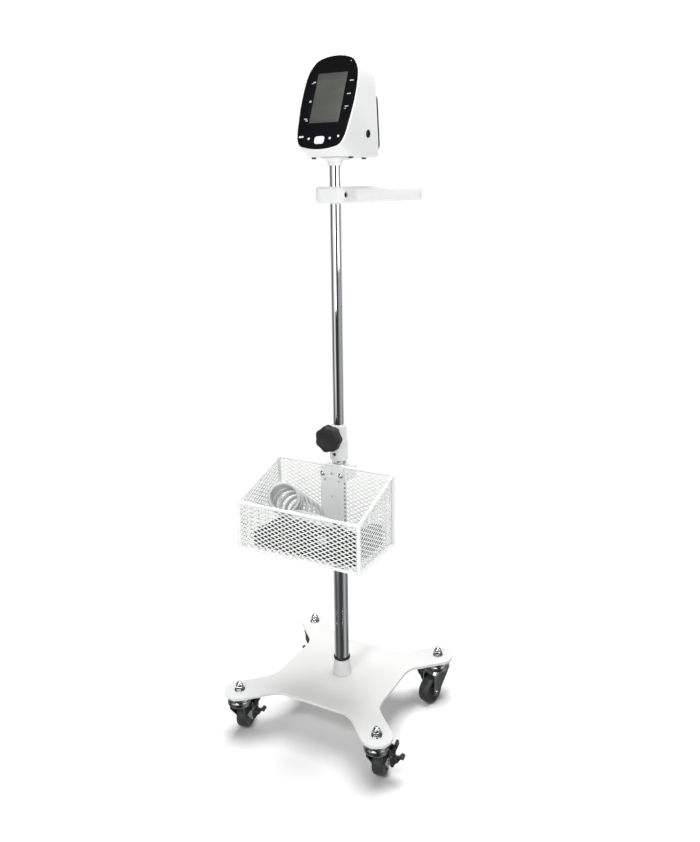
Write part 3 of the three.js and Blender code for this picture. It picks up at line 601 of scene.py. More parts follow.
# ---------------------------------------------------------------- base
def plate_outline():
    along = Vector((STEM_X, STEM_Y)).normalized()
    across = Vector((-along.y, along.x))
    slope = along.y / along.x
    right = Vector((STEM_X, STEM_Y)) + (along - across) * ARM_HALF
    left = Vector((STEM_X, STEM_Y)) + (along + across) * ARM_HALF
    quarter = [
        (BODY_X, right.y - (right.x - BODY_X) * slope, ARM_BLEND),
        (*right, ARM_HALF * 0.98),
        (*left, ARM_HALF * 0.98),
        (left.x - (left.y - BODY_Y) / slope, BODY_Y, ARM_BLEND),
    ]
    corners = []
    for sx, sy, turn in ((1, 1, 1), (-1, 1, -1), (-1, -1, 1), (1, -1, -1)):
        corners += [(sx * x, sy * y, r) for x, y, r in quarter][::turn]
    return rounded(corners, 14)


def add_base():
    holes = [ring_outline(0, 0, 5.5)] + [ring_outline(x, y, 5.5) for x, y, _ in CASTORS.values()]
    # The plate and its collar take the darker copy of the white paint: painted shade.
    steel = piece("base_plate_steel", plate(plate_outline(), PLATE_UNDER, PLATE_TOP, 1.1, holes),
                  SHADED_WHITE_PAINT, "stand", ["base_plate"])
    steel.visible_glossy = False
    foot = PLATE_TOP + GAP
    bore = LOWER_R + GAP
    collar = [(bore, foot), (19, foot), (19, foot + 1.2), (18.1, foot + 4.4), (17.2, foot + 9),
              (16.5, foot + 15), (15.9, foot + 22), (15.5, 119), (14.9, 121), (bore, 121), (bore, foot)]
    piece("pole_collar_cone", lathe(softened(collar, 0.8)), SHADED_WHITE_PAINT, "stand",
          ["pole_collar"])
    piece("collar_grommet", collar_ring(bore, 16, 121.3, 125, 1.2), BLACK, "stand",
          ["collar_ring"])
    tube = [(LOWER_BORE, foot), (LOWER_R, foot), (LOWER_R, 564), (LOWER_BORE, 564), (LOWER_BORE, foot)]
    piece("lower_pole", lathe(softened(tube, 0.4), 128), CHROME, "stand", ["lower_tube"])
    hexagon = [(9 * math.cos(k * math.pi / 3), 9 * math.sin(k * math.pi / 3)) for k in range(6)]
    head = plate(hexagon, PLATE_UNDER - 6.3, PLATE_UNDER - GAP, 0.5)
    plug = lathe([(0, foot), (12.1, foot), (12.1, foot + 18), (0, foot + 18)])
    shank = lathe([(0, PLATE_UNDER - 2), (5, PLATE_UNDER - 2), (5, foot + 4), (0, foot + 4)], 48)
    piece("anchor_bolt", joined(head, plug, shank), STEEL, "stand", ["pole_anchor_bolt"])
    for name, (x, y, _) in CASTORS.items():
        at = Matrix.Translation((x, y, 0)) @ Matrix.Rotation(math.radians(17), 4, "Z")
        nut = [(8.7 * math.cos(k * math.pi / 3), 8.7 * math.sin(k * math.pi / 3)) for k in range(6)]
        body = plate(nut, foot + 1.7, foot + 8.7, 0.9, matrix=at)
        washer = collar_ring(5.3, 10, foot, foot + 1.7, 0.4, matrix=at)
        base = foot + 8.2
        dome = [(0, base), (7.2, base), (7.2, base + 2.2)]
        dome += [(7.2 * math.cos(a * math.pi / 24), base + 2.2 + 6.6 * math.sin(a * math.pi / 24))
                 for a in range(1, 12)]
        dome += [(0, base + 8.8)]
        cap = lathe(dome, 64, at)
        piece(f"dome_nut_{name}", joined(body, washer, cap), BRIGHT, "stand",
              [f"acorn_nut_{name}"])


# ---------------------------------------------------------------- castors
def add_castor(name, x, y, turn):
    at = Matrix.Translation((x, y, 0)) @ Matrix.Rotation(math.radians(turn), 4, "Z")
    under = PLATE_UNDER - GAP
    bolt = lathe([(0, 55.5), (8.4, 55.5), (9, 56.1), (9, 58.4), (8.4, 59), (5, 59), (5, 98.5), (0, 98.5)],
                 48, at)
    dish = lathe(softened([(4.5, 75.3), (21.6, 75.3), (24.3, 77.2), (24.6, 79.4), (24.4, 81.4),
                           (23.6, under), (4.5, under), (4.5, 75.3)], 0.7), 96, at)
    piece(f"swivel_race_{name}", joined(bolt, dish), BRIGHT, "stand", [f"castor_stem_{name}"])

    crown = lathe(softened([(5.3, 59.3), (10, 59.3), (11, 63), (22.6, 63.8), (24, 66), (24, 72), (22.8, 75),
                            (5.3, 75), (5.3, 59.3)], 0.9), 96, at)
    outline = rounded([(TRAIL - 8, 18, 7.6), (TRAIL + 8.5, 18, 7.6), (TRAIL + 3, 58, 4), (17, 67, 2),
                       (-15, 67, 2), (-15, 55, 5)], 10)
    # Local X, Y and Z of a leg are the trail, the height and the castor's right-hand side.
    legs = []
    side = at @ Matrix.Rotation(math.pi / 2, 4, "X")
    for low in (-15.6, 12.9):
        legs.append(plate(outline, low, low + 2.7, 0.8, matrix=side))
    axle_at = at @ Matrix.Translation((TRAIL, 0, WHEEL_R)) @ Matrix.Rotation(math.pi / 2, 4, "X")
    boss = [lathe(softened([(0, s), (6.4, s), (6.4, s + 1.3), (0, s + 1.3), (0, s)], 0.4), 48, axle_at)
            for s in (-16.9, 15.3)]
    lug_outline = rounded([(-14, 50, 1.5), (-14, 66, 1.5), (-24, 66, 3), (-29, 56, 3), (-29, 50, 3),
                           (-24, 47.5, 3)], 8)
    lugs = [plate(lug_outline, low, low + 2, 0.4, matrix=at @ along_x()) for low in (2, 18)]
    piece(f"fork_{name}_pressing", joined(crown, *legs, *boss, *lugs), FORK, f"fork_{name}",
          [f"castor_fork_{name}"])
    shroud_outline = rounded([(-13, 45, 6), (29, 44, 6), (27, 62, 6), (19, 75, 4), (-13, 75, 4)], 8)
    shroud = plate(shroud_outline, 15.8, 18.2, 0.9, matrix=side)
    piece(f"brake_cover_{name}", shroud, BLACK, f"fork_{name}")
    pin = lathe([(0, 1.9), (1.6, 1.9), (1.6, 20.1), (0, 20.1)], 24,
                at @ Matrix.Translation((0, -PEDAL_OUT, PEDAL_Z)) @ Matrix.Rotation(math.pi / 2, 4, "Y"))
    axle = lathe([(0, -18), (2.6, -18), (3.5, -17.2), (3.5, 17.2), (2.6, 18), (0, 18)], 40, axle_at)
    piece(f"axle_bolt_{name}", joined(pin, axle), BRIGHT, f"fork_{name}")

    tread = lathe(softened([(19.2, -9.4), (20.4, -11), (23.2, -11), (25.4, -8.6), (26, -5), (26, 5),
                            (25.4, 8.6), (23.2, 11), (20.4, 11), (19.2, 9.4), (19.2, -9.4)], 1.4), 128,
                  axle_at)
    piece(f"tyre_{name}", tread, TYRE, f"wheel_{name}", [f"wheel_{name}"])
    hub = lathe(softened([(3.8, -10.6), (8, -10.6), (9.4, -8.2), (16.6, -7.6), (18.2, -9.4), (19.3, -9.4),
                          (19.3, 9.4), (18.2, 9.4), (16.6, 7.6), (9.4, 8.2), (8, 10.6), (3.8, 10.6),
                          (3.8, -10.6)], 0.6), 128, axle_at)
    piece(f"hub_{name}", hub, HUB, f"wheel_{name}")

    profile = [
        (23, 31, 1.5), (27.5, 30.5, 1.5), (31.5, 38, 3), (36.5, 42, 3), (42, 50.5, 3), (46.5, 48.8, 1),
        (47.4, 51.4, 1), (41.5, 55, 3), (34.5, 46.5, 3), (29.4, 48, 2), (29.4, 57, 3), (36, 70, 3),
        (35.2, 78.5, 2.4), (29.6, 78, 2.4), (30.2, 72, 2.5), (21.4, 58, 2.5), (21.4, 46, 2.5),
    ]
    pedal_outline = rounded([(-l, z, r) for l, z, r in profile][::-1], 8)
    pedal = plate(pedal_outline, 4.4, 17.6, 0.9, [ring_outline(-PEDAL_OUT, PEDAL_Z, 1.9, 24)],
                  at @ along_x())
    piece(f"brake_lever_{name}", pedal, BLACK, f"pedal_{name}", [f"brake_pedal_{name}"])


add_base()
for castor, (stem_x, stem_y, turned_by) in CASTORS.items():
    add_castor(castor, stem_x, stem_y, turned_by)


# ---------------------------------------------------------------- height clamp and its knob
def add_clamp():
    sleeve = lathe([(0, 526.5), (16.6, 526.5), (17.2, 527.2), (16.8, 563), (15.6, 565.6), (15.2, 568),
                    (14.9, 592), (14.3, 592.8), (0, 592.8)])
    boss = lathe([(0, 8), (10, 8), (10, 25.2), (9.2, 26), (0, 26)], 64, facing_front(0, 0, KNOB_Z))
    screw_boss = lathe([(0, 8), (5.5, 8), (5.5, 17.8), (4.9, 18.4), (0, 18.4)], 64,
                       facing_front(0, 0, SET_SCREW_Z))
    body = cast(joined(sleeve, boss, screw_boss), 0.55, 5)
    cutters = [
        lathe([(0, 520), (LOWER_R + GAP, 520), (LOWER_R + GAP, 564.5), (0, 564.5)]),
        lathe([(0, 560), (UPPER_R + GAP, 560), (UPPER_R + GAP, 600), (0, 600)]),
        lathe([(0, 5), (4.3, 5), (4.3, 30), (0, 30)], 48, facing_front(0, 0, KNOB_Z)),
        lathe([(0, 5), (3.3, 5), (3.3, 30), (0, 30)], 48, facing_front(0, 0, SET_SCREW_Z)),
    ]
    for cutter in cutters:
        body = cut(body, cutter)
    piece("clamp_body", body, WHITE_PLASTIC, "stand", ["height_clamp"])
    screw = lathe([(0, 14.4), (3, 14.4), (3, 17.2), (2.6, 17.6), (0, 17.6)], 40,
                  facing_front(0, 0, SET_SCREW_Z))
    hexagon = [(1.5 * math.cos(k * math.pi / 3), 1.5 * math.sin(k * math.pi / 3)) for k in range(6)]
    screw = cut(screw, plate(hexagon, 16, 19, 0.02, matrix=facing_front(0, 0, SET_SCREW_Z)))
    piece("set_screw", screw, BLACK_AND_PORT_SHADE, "stand", ["clamp_set_screw"])
    bush = [(UPPER_R + GAP, 530), (LOWER_BORE - GAP, 530), (LOWER_BORE - GAP, 563.7), (UPPER_R + GAP, 563.7),
            (UPPER_R + GAP, 530)]
    piece("sliding_bush", lathe(softened(bush, 0.3)), NYLON, "stand", ["guide_bush"])

    lobes = 7
    grip_outline = []
    for i in range(lobes * 24):
        angle = 2 * math.pi * i / (lobes * 24)
        r = 25 - 1.1 * (1 - math.cos(lobes * angle))
        grip_outline.append((r * math.cos(angle), r * math.sin(angle)))
    grip = plate(grip_outline, 29, 47, 3.2, matrix=facing_front(0, 0, KNOB_Z), steps=6)
    dimple = lathe([(0, 46.2), (12, 46.2), (14.5, 47.2), (14.5, 50), (0, 50)], 96,
                   facing_front(0, 0, KNOB_Z))
    grip = cut(grip, dimple)
    piece("knob_grip", grip, KNOB_BLACK, "knob", ["clamp_knob"])
    stud = lathe([(0, 11.3), (3.4, 11.3), (4, 12), (4, 31), (0, 31)], 48, facing_front(0, 0, KNOB_Z))
    piece("knob_stud", stud, STEEL, "knob")


# ---------------------------------------------------------------- basket
CELL_X, CELL_Y = 14.8, 7.8
STRAND = 0.73


def expanded_sheet(width, height, keep, matrix, thick=1.0):
    """Expanded metal over width by height, its origin at the lower left corner. keep holds [point, normal]
    pairs whose normals point to the side that is cut away."""
    work = bmesh.new()
    outer = [(-CELL_X / 2, 0), (0, -CELL_Y / 2), (CELL_X / 2, 0), (0, CELL_Y / 2)]
    columns = int(width / CELL_X) + 2
    rows = int(height / CELL_Y) + 2
    for i in range(2 * columns):
        for j in range(rows):
            x = i * CELL_X / 2
            y = (j + (i % 2) / 2) * CELL_Y
            rim = [work.verts.new((x + px, y + py, 0)) for px, py in outer]
            hole = [
                work.verts.new((x + px * STRAND, y + py * STRAND,
                                0.5 * (1 if py > 0 else -1 if py < 0 else 0)))
                for px, py in outer
            ]
            for k in range(4):
                work.faces.new((rim[k], rim[(k + 1) % 4], hole[(k + 1) % 4], hole[k]))
    bmesh.ops.remove_doubles(work, verts=work.verts, dist=0.01)
    edges = [((0, 0), (-1, 0)), ((0, 0), (0, -1)), ((width, 0), (1, 0)), ((0, height), (0, 1)), *keep]
    for point, normal in edges:
        bmesh.ops.bisect_plane(
            work, geom=[*work.verts, *work.edges, *work.faces], plane_co=(*point, 0), plane_no=(*normal, 0),
            clear_outer=True,
        )
    mesh = bpy.data.meshes.new("work")
    work.to_mesh(mesh)
    work.free()
    mesh.transform(Matrix.Scale(MM, 4) @ matrix)
    return modified(mesh, ("SOLIDIFY", {"thickness": thick * MM, "offset": 0}))


def add_basket():
    posts = [(BASKET_FRONT, BASKET_FRONT_TOP), (BASKET_BACK, BASKET_BACK_TOP)]
    rods = []
    for sx in (-1, 1):
        x = sx * BASKET_X
        for y, top in posts:
            rods.append(sweep([(x, y, BASKET_FLOOR), (x, y, (BASKET_FLOOR + top) / 2), (x, y, top)],
                              POST_R, 32))
            for z in (BASKET_FLOOR, top):
                cap = [(0, -POST_R)] + [
                    (POST_R * math.cos(a * math.pi / 16), POST_R * math.sin(a * math.pi / 16))
                    for a in range(-7, 8)
                ] + [(0, POST_R)]
                rods.append(lathe(cap, 32, Matrix.Translation((x, y, z))))
        for a, b in (((x, BASKET_FRONT, BASKET_FLOOR), (x, BASKET_BACK, BASKET_FLOOR)),
                     ((x, BASKET_FRONT, BASKET_FRONT_TOP), (x, BASKET_BACK, BASKET_BACK_TOP))):
            rods.append(sweep([a, (Vector(a) + Vector(b)) / 2, b], RIM_R, 32))
    for y, top in posts:
        for z in (BASKET_FLOOR, top):
            rods.append(sweep([(-BASKET_X, y, z), (0, y, z), (BASKET_X, y, z)], RIM_R, 32))
    piece("basket_wires", joined(*rods), WHITE_PAINT, "stand", ["basket_frame"])

    wall = BASKET_X - POST_R - GAP
    y0, y1 = BASKET_FRONT + POST_R + GAP, BASKET_BACK - POST_R - GAP
    z0 = BASKET_FLOOR + RIM_R + GAP
    slope = (BASKET_BACK_TOP - BASKET_FRONT_TOP) / (BASKET_BACK - BASKET_FRONT)
    edge_front = BASKET_FRONT_TOP + (y0 - BASKET_FRONT) * slope - RIM_R - 0.8
    edge_back = BASKET_FRONT_TOP + (y1 - BASKET_FRONT) * slope - RIM_R - 0.8
    # The sheets lie against the rods, and their edges run into them.
    inset = -1.4
    lap = 0.5
    tilt = Vector((-slope, 1)).normalized()
    keep = [((0, edge_front - z0 + 2.4), tuple(tilt))]
    wide, deep = 2 * (wall + lap), y1 - y0 + 2 * lap
    floor_z = z0 - 1.6
    sheets = [
        expanded_sheet(wide, edge_front - floor_z + 1.2, [], facing_front(-wall - lap, y0 + inset, floor_z)),
        expanded_sheet(wide, edge_back - floor_z + 1.2, [], facing_front(-wall - lap, y1 - inset, floor_z)),
        expanded_sheet(deep, edge_back - floor_z + 1.2, keep, along_x(wall - inset, y0 - lap, floor_z)),
        expanded_sheet(deep, edge_back - floor_z + 1.2, keep, along_x(-wall + inset, y0 - lap, floor_z)),
        expanded_sheet(wide, deep, [], Matrix.Translation((-wall - lap, y0 - lap, z0 + 0.4))),
    ]
    piece("basket_expanded_mesh", joined(*sheets), WHITE_PAINT, "stand", ["basket_mesh"], 40)

    back = y1 - 1.4 - GAP
    spots = ((0, 506), (14.5, 493), (-14.5, 493), (0, 461.5), (14.3, 431), (14.3, 416))
    holes = [ring_outline(x, z, 2, 32) for x, z in spots]
    strap = plate(box_outline(24, 58, 3, 0, 462), -back, -back + 3, 0.5, holes, facing_front())
    piece("bracket_strap", strap, WHITE_PAINT, "stand", ["bracket_plate"])
    bore = lathe([(0, 480), (LOWER_R + GAP, 480), (LOWER_R + GAP, 530), (0, 530)])
    for word, low, high in (("front", y1 + GAP, -1.2), ("back", 1.2, 20)):
        block = plate(box_outline(27, (high - low) / 2, 2.5, 0, (low + high) / 2), 492, 515.8, 0.9)
        piece(f"bracket_clamp_{word}", cut(block, bore), WHITE_PAINT, "stand",
              [f"pole_clamp_{word}"])
    head_back = back - 3 - GAP
    for word, sx in (("left", -1), ("right", 1)):
        at = facing_front(sx * SCREW_X, head_back, SCREW_Z)
        piece(f"bracket_bolt_{word}", screw_head(5.2, 3.4, at), BRIGHT, "stand",
              [f"bracket_screw_{word}"])


add_clamp()
add_basket()


# ---------------------------------------------------------------- mast: tube, push handle and mount
def add_mast():
    tube = [(UPPER_BORE, 495), (UPPER_R, 495), (UPPER_R, 1076.6), (UPPER_BORE, 1076.6), (UPPER_BORE, 495)]
    piece("upper_pole", lathe(softened(tube, 0.4), 128), CHROME, "mast", ["upper_tube"])

    front, back, bar, near, far = -28, 168.7, 22, 30, 115
    low, high = 1000.5, 1029.5
    outline = rounded([(-near, front, 14), (near, front, 14), (near, 16, 30), (far, back, 20),
                       (-far, back, 20), (-near, 16, 30)], 16)
    inner = rounded([(-10, 34, 6), (10, 34, 6), (80, back - bar, 14), (-80, back - bar, 14)], 16)
    loop = plate(outline, low, high, 6.5, [inner], steps=8)
    middle = (low + high) / 2
    for vertex in loop.vertices:
        share = max(0, min(1, vertex.co.y / MM / back))
        vertex.co.z += (3.3 if vertex.co.z < middle * MM else -0.6) * share * MM
    loop = cut(loop, lathe([(0, 990), (UPPER_R + GAP, 990), (UPPER_R + GAP, 1040), (0, 1040)]))
    bolt_at = along_x(0, BOLT_Y, middle)
    loop = cut(loop, lathe([(0, -20.3), (2.5, -20.3), (2.5, 22.7), (5.4, 22.7), (5.4, 40), (0, 40)], 48,
                           bolt_at))
    piece("handle_loop", loop, WHITE_PLASTIC, "mast", ["push_handle"])
    screw = lathe([(0, -20), (2.2, -20), (2.2, 23), (5.1, 23), (5.1, 27.4), (4.4, 28.4), (0, 28.4)], 48,
                  bolt_at)
    hexagon = [(2.8 * math.cos(k * math.pi / 3), 2.8 * math.sin(k * math.pi / 3)) for k in range(6)]
    screw = cut(screw, plate(hexagon, 25.4, 32, 0.02, matrix=bolt_at))
    piece("handle_bolt", screw, DARK_STEEL, "mast", ["handle_screw"])

    sleeve = [(UPPER_R + GAP, 1066), (12.4, 1066), (12.8, 1066.5), (12.8, 1077.5), (UPPER_R + GAP, 1077.5),
              (UPPER_R + GAP, 1066)]
    mount = plate(box_outline(20, 24, 6, 0, 6), 1077, CASING_UNDER - GAP, 0.8)
    flange = lathe([(UPPER_R + GAP, 1073), (13.6, 1073), (18, 1076.6), (18, 1077.4), (UPPER_R + GAP, 1077.4),
                    (UPPER_R + GAP, 1073)])
    piece("mount_bracket", joined(lathe(sleeve), mount, flange), WHITE_PAINT, "mast",
          ["mount_plate"])


# ---------------------------------------------------------------- monitor
def egg_outline(by=0.0):
    """The bezel's outline as one smooth curve, moved out by a distance."""
    corners = [Vector((*p, 0)) for p in [*EGG, *[(-x, v) for x, v in EGG[::-1]]]]
    count = len(corners)
    points = []
    for i in range(count):
        a, b, c, d = (corners[(i + k) % count] for k in (-1, 0, 1, 2))
        points += [spline_point(a, b, c, d, step / 5) for step in range(5)]
    moved = []
    for i, p in enumerate(points):
        tangent = (points[(i + 1) % len(points)] - points[i - 1]).normalized()
        moved.append((p.x + tangent.y * by, p.y - tangent.x * by))
    return moved


def grown(points, by):
    """A convex outline with its corners moved out along their mean normals."""
    moved = []
    for i, point in enumerate(points):
        here = Vector(point)
        before = (here - Vector(points[i - 1])).normalized()
        after = (Vector(points[(i + 1) % len(points)]) - here).normalized()
        normal = Vector((before.y + after.y, -before.x - after.x)).normalized()
        moved.append(tuple(here + normal * (by / max(normal.dot(Vector((before.y, -before.x))), 0.5))))
    return moved


def side_prism(points, half):
    return plate(points, -half, half, 0.01, matrix=along_x())


def rear_prism(inset):
    """Leans with the casing's back and rounds its upright corners."""
    x, r = REAR_X - inset, REAR_R - inset
    plan = rounded([(-x, -160, 1), (x, -160, 1), (x, -inset, r), (-x, -inset, r)], 14)
    return plate(plan, -100, 150, 0.01, matrix=Matrix.Translation((0, COVER_Y, COVER_Z))
                 @ Matrix.Rotation(COVER_LEAN, 4, "X"))


def bulge_at(x, y):
    """How far the rear panel swells at a place on it."""
    return COVER_BULGE * max(0, 1 - (x / COVER_X) ** 2) * max(0, 1 - (y / COVER_HALF) ** 2)


def bulged(lid):
    """Cuts the panel into strips fine enough to bend, then swells its outer face."""
    to_cover = COVER.inverted()
    work = bmesh.new()
    work.from_mesh(lid)
    for axis, reach in ((Vector((1, 0, 0)), COVER_X), (Vector((0, 1, 0)), COVER_HALF)):
        across = (COVER.to_3x3() @ axis).normalized()
        for k in range(-9, 10):
            at = COVER @ (axis * reach * k / 10)
            geometry = [*work.verts, *work.edges, *work.faces]
            bmesh.ops.bisect_plane(work, geom=geometry, plane_co=at * MM, plane_no=across)
    out = COVER.to_3x3() @ Vector((0, 0, 1))
    for vertex in work.verts:
        x, y, z = to_cover @ (vertex.co / MM)
        share = max(0, min(1, (z - GAP) / (COVER_THICK - GAP)))
        vertex.co += out * bulge_at(x, y) * share * MM
    work.to_mesh(lid)
    work.free()
    return lid


def shell_solid(by, front, bevel):
    """Square to the face below its widest line, and straight back above that line."""
    outline = egg_outline(by)
    square = plate(outline, -150, front, bevel, matrix=FACE)
    upright = [(x, v * math.cos(LEAN)) for x, v in outline]
    straight = plate(upright, -90, 90, 0.01, matrix=facing_front(0, 0, FACE_Z))
    behind = plate(box_outline(80, 130, 1), -300, front - bevel, 0.01, matrix=FACE)
    return cut(square, cut(straight, behind, "INTERSECT"), "UNION")


def add_casing():
    outer = cut(shell_solid(RIM, 0, 1.6), side_prism(PROFILE, 70), "INTERSECT")
    outer = cut(outer, rear_prism(0), "INTERSECT")
    outer = modified(
        outer,
        ("REMESH", {"mode": "VOXEL", "voxel_size": 1.3 * MM}),
        ("SMOOTH", {"factor": 0.5, "iterations": 12}),
    )
    inner = cut(shell_solid(RIM - SHELL, -4, 0.5), side_prism(grown(PROFILE, -SHELL), 60), "INTERSECT")
    inner = cut(inner, rear_prism(SHELL), "INTERSECT")
    shell = cut(outer, inner)
    shell = cut(shell, plate(egg_outline(GAP), -5.6, 5, 0.01, matrix=FACE))
    opening = box_outline(COVER_X - COVER_LIP, COVER_HALF - COVER_LIP, 8)
    shell = cut(shell, plate(opening, -12, 12, 0.01, matrix=COVER))
    bore = PORT_R + GAP
    shell = cut(shell, lathe([(0, 40), (bore, 40), (bore, 70), (0, 70)], 64, along_x(0, PORT_Y, PORT_Z)))
    piece("monitor_shell", shell, WHITE_PLASTIC, "mast", ["monitor_casing"], 40)

    lid = plate(box_outline(COVER_X, COVER_HALF, 14), GAP, COVER_THICK, 1.8, matrix=COVER, steps=6)
    lip = box_outline(COVER_X - COVER_LIP - GAP, COVER_HALF - COVER_LIP - GAP, 8)
    collar = plate(lip, -5, 1, 0.3, matrix=COVER)
    for row in range(-5, 6):
        slot = plate(box_outline(22, 1.1, 1, 0, row * 4.4), COVER_THICK - 1, COVER_THICK + 3, 0.02,
                     matrix=COVER)
        lid = cut(lid, slot)
    lid = bulged(lid)
    piece("rear_panel", joined(lid, collar), REAR, "mast", ["rear_cover"])
    for sx in (-1, 1):
        for sy in (-1, 1):
            seat = COVER @ Matrix.Translation((sx * 42, sy * 42, COVER_THICK - 0.4 + bulge_at(42, 42)))
            piece(f"rear_screw_{sx + 1}{sy + 1}", screw_head(2.6, 1.2, seat), STEEL, "mast")

    for k, (x, y) in enumerate(((-37, -10), (37, -10), (-30, 53), (30, 53))):
        foot = lathe([(0, 1077.6), (3.6, 1077.6), (4.2, 1078.2), (4.4, CASING_UNDER + 0.8),
                      (0, CASING_UNDER + 0.8)], 48, Matrix.Translation((x, y, 0)))
        piece(f"casing_foot_{k}", foot, FOOT, "mast")


def add_face():
    window = box_outline(SCREEN_X, (SCREEN_HIGH - SCREEN_LOW) / 2, 1.5, 0, (SCREEN_HIGH + SCREEN_LOW) / 2)
    buttons = {
        "button_start": (-1, -81.5, 9.4, 6.9, 4.4),
        "button_power": (-38.3, -74.6, 4.6, 1.4, 1.3),
        "button_memory": (-22.5, -78.5, 2, 2, 1.9),
        "button_mode": (19.2, -78.7, 2, 2, 1.9),
        "button_interval": (34.8, -75.3, 2, 2, 1.9),
    }
    holes = [window] + [box_outline(hx + GAP, hv + GAP, r, x, v) for x, v, hx, hv, r in buttons.values()]
    bezel = plate(egg_outline(), -5, 0.4, 0.35, holes, FACE)
    piece("bezel_panel", bezel, GLOSS, "mast", ["front_bezel"])

    module = plate(box_outline(SCREEN_X + 2, 49.5, 0.5, 0, -1.5), -8.3, -5.3, 0.2, matrix=FACE)
    glass = plate(box_outline(SCREEN_X - 0.15, 47.35, 1.4, 0, -1.5), -5.3, -0.6, 0.15, matrix=FACE)
    piece("display_glass", joined(module, glass), LCD_EDGE, "mast", ["display"])
    field = plate(box_outline(SCREEN_X - 2.2, 37.5, 0.4, 0, -5.2), -0.75, -0.52, 0.05, matrix=FACE)
    piece("display_field", field, LCD, "mast")
    add_segments()

    for name, (x, v, half_x, half_v, r) in buttons.items():
        cap = plate(box_outline(half_x, half_v, r, x, v, 12), -6.3, 1, 0.45, matrix=FACE, steps=5)
        flange = plate(box_outline(half_x + 1.2, half_v + 1.2, r, x, v), -7.1, -5.3, 0.2, matrix=FACE)
        piece(f"{name}_cap", joined(cap, flange), KEY, name, [name])

    # The lamp at the top right, and the plain printed marks beside the screen.
    lamp = lathe([(0, 0.3), (1.1, 0.3), (1.1, 0.55), (0.7, 0.75), (0, 0.8)], 32,
                 FACE @ Matrix.Translation((31.8, 65.1, 0)))
    piece("lamp", lamp, PRINT, "mast")
    marks = [
        (-36.6, 26.6, 2.2, 0.7), (-33, 28.8, 2.6, 1.3), (-34, -8, 2.3, 1.9), (-36.6, -41, 3, 1.1),
        (-34, -44.2, 2.4, 1), (40.2, 27.6, 3.9, 1.1), (39.6, 2.6, 3.7, 1.05), (39.4, -20.8, 3.5, 1),
        (37.8, -25, 1.9, 0.7),
    ]
    prints = [
        plate(box_outline(hx, hv, min(hx, hv) * 0.8, x, v, 6), 0.38, 0.48, 0.02, matrix=FACE)
        for x, v, hx, hv in marks
    ]
    piece("printed_marks", joined(*prints), PRINT, "mast")


def add_segments():
    """Three rows of unlit numerals under the glass, each a set of seven faint bars."""
    bars = []
    for centre_v, height, places in ((22, 15, (-4, 8, 20)), (-6, 15, (-4, 8, 20)), (-33, 11, (2, 11, 20))):
        width = height * 0.5
        for x in places:
            for v in (-height / 2, 0, height / 2):
                bars.append((x, centre_v + v, width / 2 - 0.6, 0.55))
            for side in (-1, 1):
                for half in (-1, 1):
                    bars.append((x + side * width / 2, centre_v + half * height / 4, 0.55, height / 4 - 0.7))
    faint = [plate(box_outline(hx, hv, 0.5, x, v, 3), -0.56, -0.5, 0.01, matrix=FACE)
             for x, v, hx, hv in bars]
    piece("display_segments", joined(*faint), SEGMENT, "mast")


def add_socket():
    # The barrel and its contacts are near-black: painted shade for the inside of the port.
    barrel = [(0, 45.5), (PORT_R + 2, 45.5), (PORT_R + 2, 49.6), (PORT_R, 49.6), (PORT_R, 54.2),
              (PORT_R - 1.2, 54.8), (PORT_R - 2, 53.6), (0, 53.6), (0, 45.5)]
    barrel = lathe(softened(barrel, 0.2), 64, along_x(0, PORT_Y, PORT_Z))
    slot = plate(box_outline(1.9, 4.1, 1.7, PORT_Y, PORT_Z), 48.5, 60, 0.01, matrix=along_x())
    piece("port_barrel", cut(barrel, slot), BLACK_AND_PORT_SHADE, "mast", ["side_socket"])
    contacts = plate(box_outline(1.8, 4, 1.6, PORT_Y, PORT_Z), 48.4, 51.9, 0.1, matrix=along_x())
    piece("port_contacts", contacts, BLACK_AND_PORT_SHADE, "mast")


add_mast()
add_casing()
add_face()
add_socket()


# ---------------------------------------------------------------- cuff
CUFF_LEFT, CUFF_RIGHT, CUFF_FRONT, CUFF_TOP = -100, 110, -147.5, 444
CUFF_UNDER = BASKET_FLOOR + RIM_R + GAP + 1.4 + GAP
TAIL_LEFT, TAIL_TOP = 88, 440
BAND = 10.2


def cuff_line():
    """The band's centreline seen from above: three passes joined by two folds."""
    turn_r = (BAND + 0.9) / 2
    front, middle, back = (CUFF_FRONT + BAND / 2 + k * 2 * turn_r for k in range(3))
    right, left = CUFF_RIGHT - BAND - 0.5, CUFF_LEFT + BAND + 0.5
    line = []
    steps = 52
    for k in range(steps + 1):
        line.append(Vector((CUFF_LEFT + 4 + (right - CUFF_LEFT - 4) * k / steps, front, 0)))
    for k in range(1, 12):
        angle = -math.pi / 2 + math.pi * k / 12
        line.append(Vector((right + turn_r * math.cos(angle), front + turn_r + turn_r * math.sin(angle), 0)))
    for k in range(steps + 1):
        line.append(Vector((right + (left - right) * k / steps, middle, 0)))
    for k in range(1, 12):
        angle = -math.pi / 2 - math.pi * k / 12
        line.append(Vector((left + turn_r * math.cos(angle), middle + turn_r + turn_r * math.sin(angle), 0)))
    for k in range(steps + 1):
        line.append(Vector((left + (right - 2 - left) * k / steps, back, 0)))
    return line


def cuff_top(x):
    """Height of the folded cuff along the basket."""
    ease = max(0, min(1, (x - CUFF_LEFT) / 48))
    return CUFF_TOP - 24 * (1 - ease * ease * (3 - 2 * ease)) - 5 * max(0, (x - 78) / 32) ** 2


def tail_line():
    """Seen from above: two passes along the basket's right wall, joined by a fold at the front."""
    turn_r = (BAND + 0.9) / 2
    inner = TAIL_LEFT + BAND / 2 + 0.8
    steps = 24
    back, front = -38, -104
    line = [Vector((inner, back + (front - back) * k / steps, 0)) for k in range(steps + 1)]
    for k in range(1, 12):
        angle = math.pi + math.pi * k / 12
        line.append(Vector((inner + turn_r + turn_r * math.cos(angle), front + turn_r * math.sin(angle), 0)))
    line += [Vector((inner + 2 * turn_r, front + (back - 2 - front) * k / steps, 0))
             for k in range(steps + 1)]
    return line


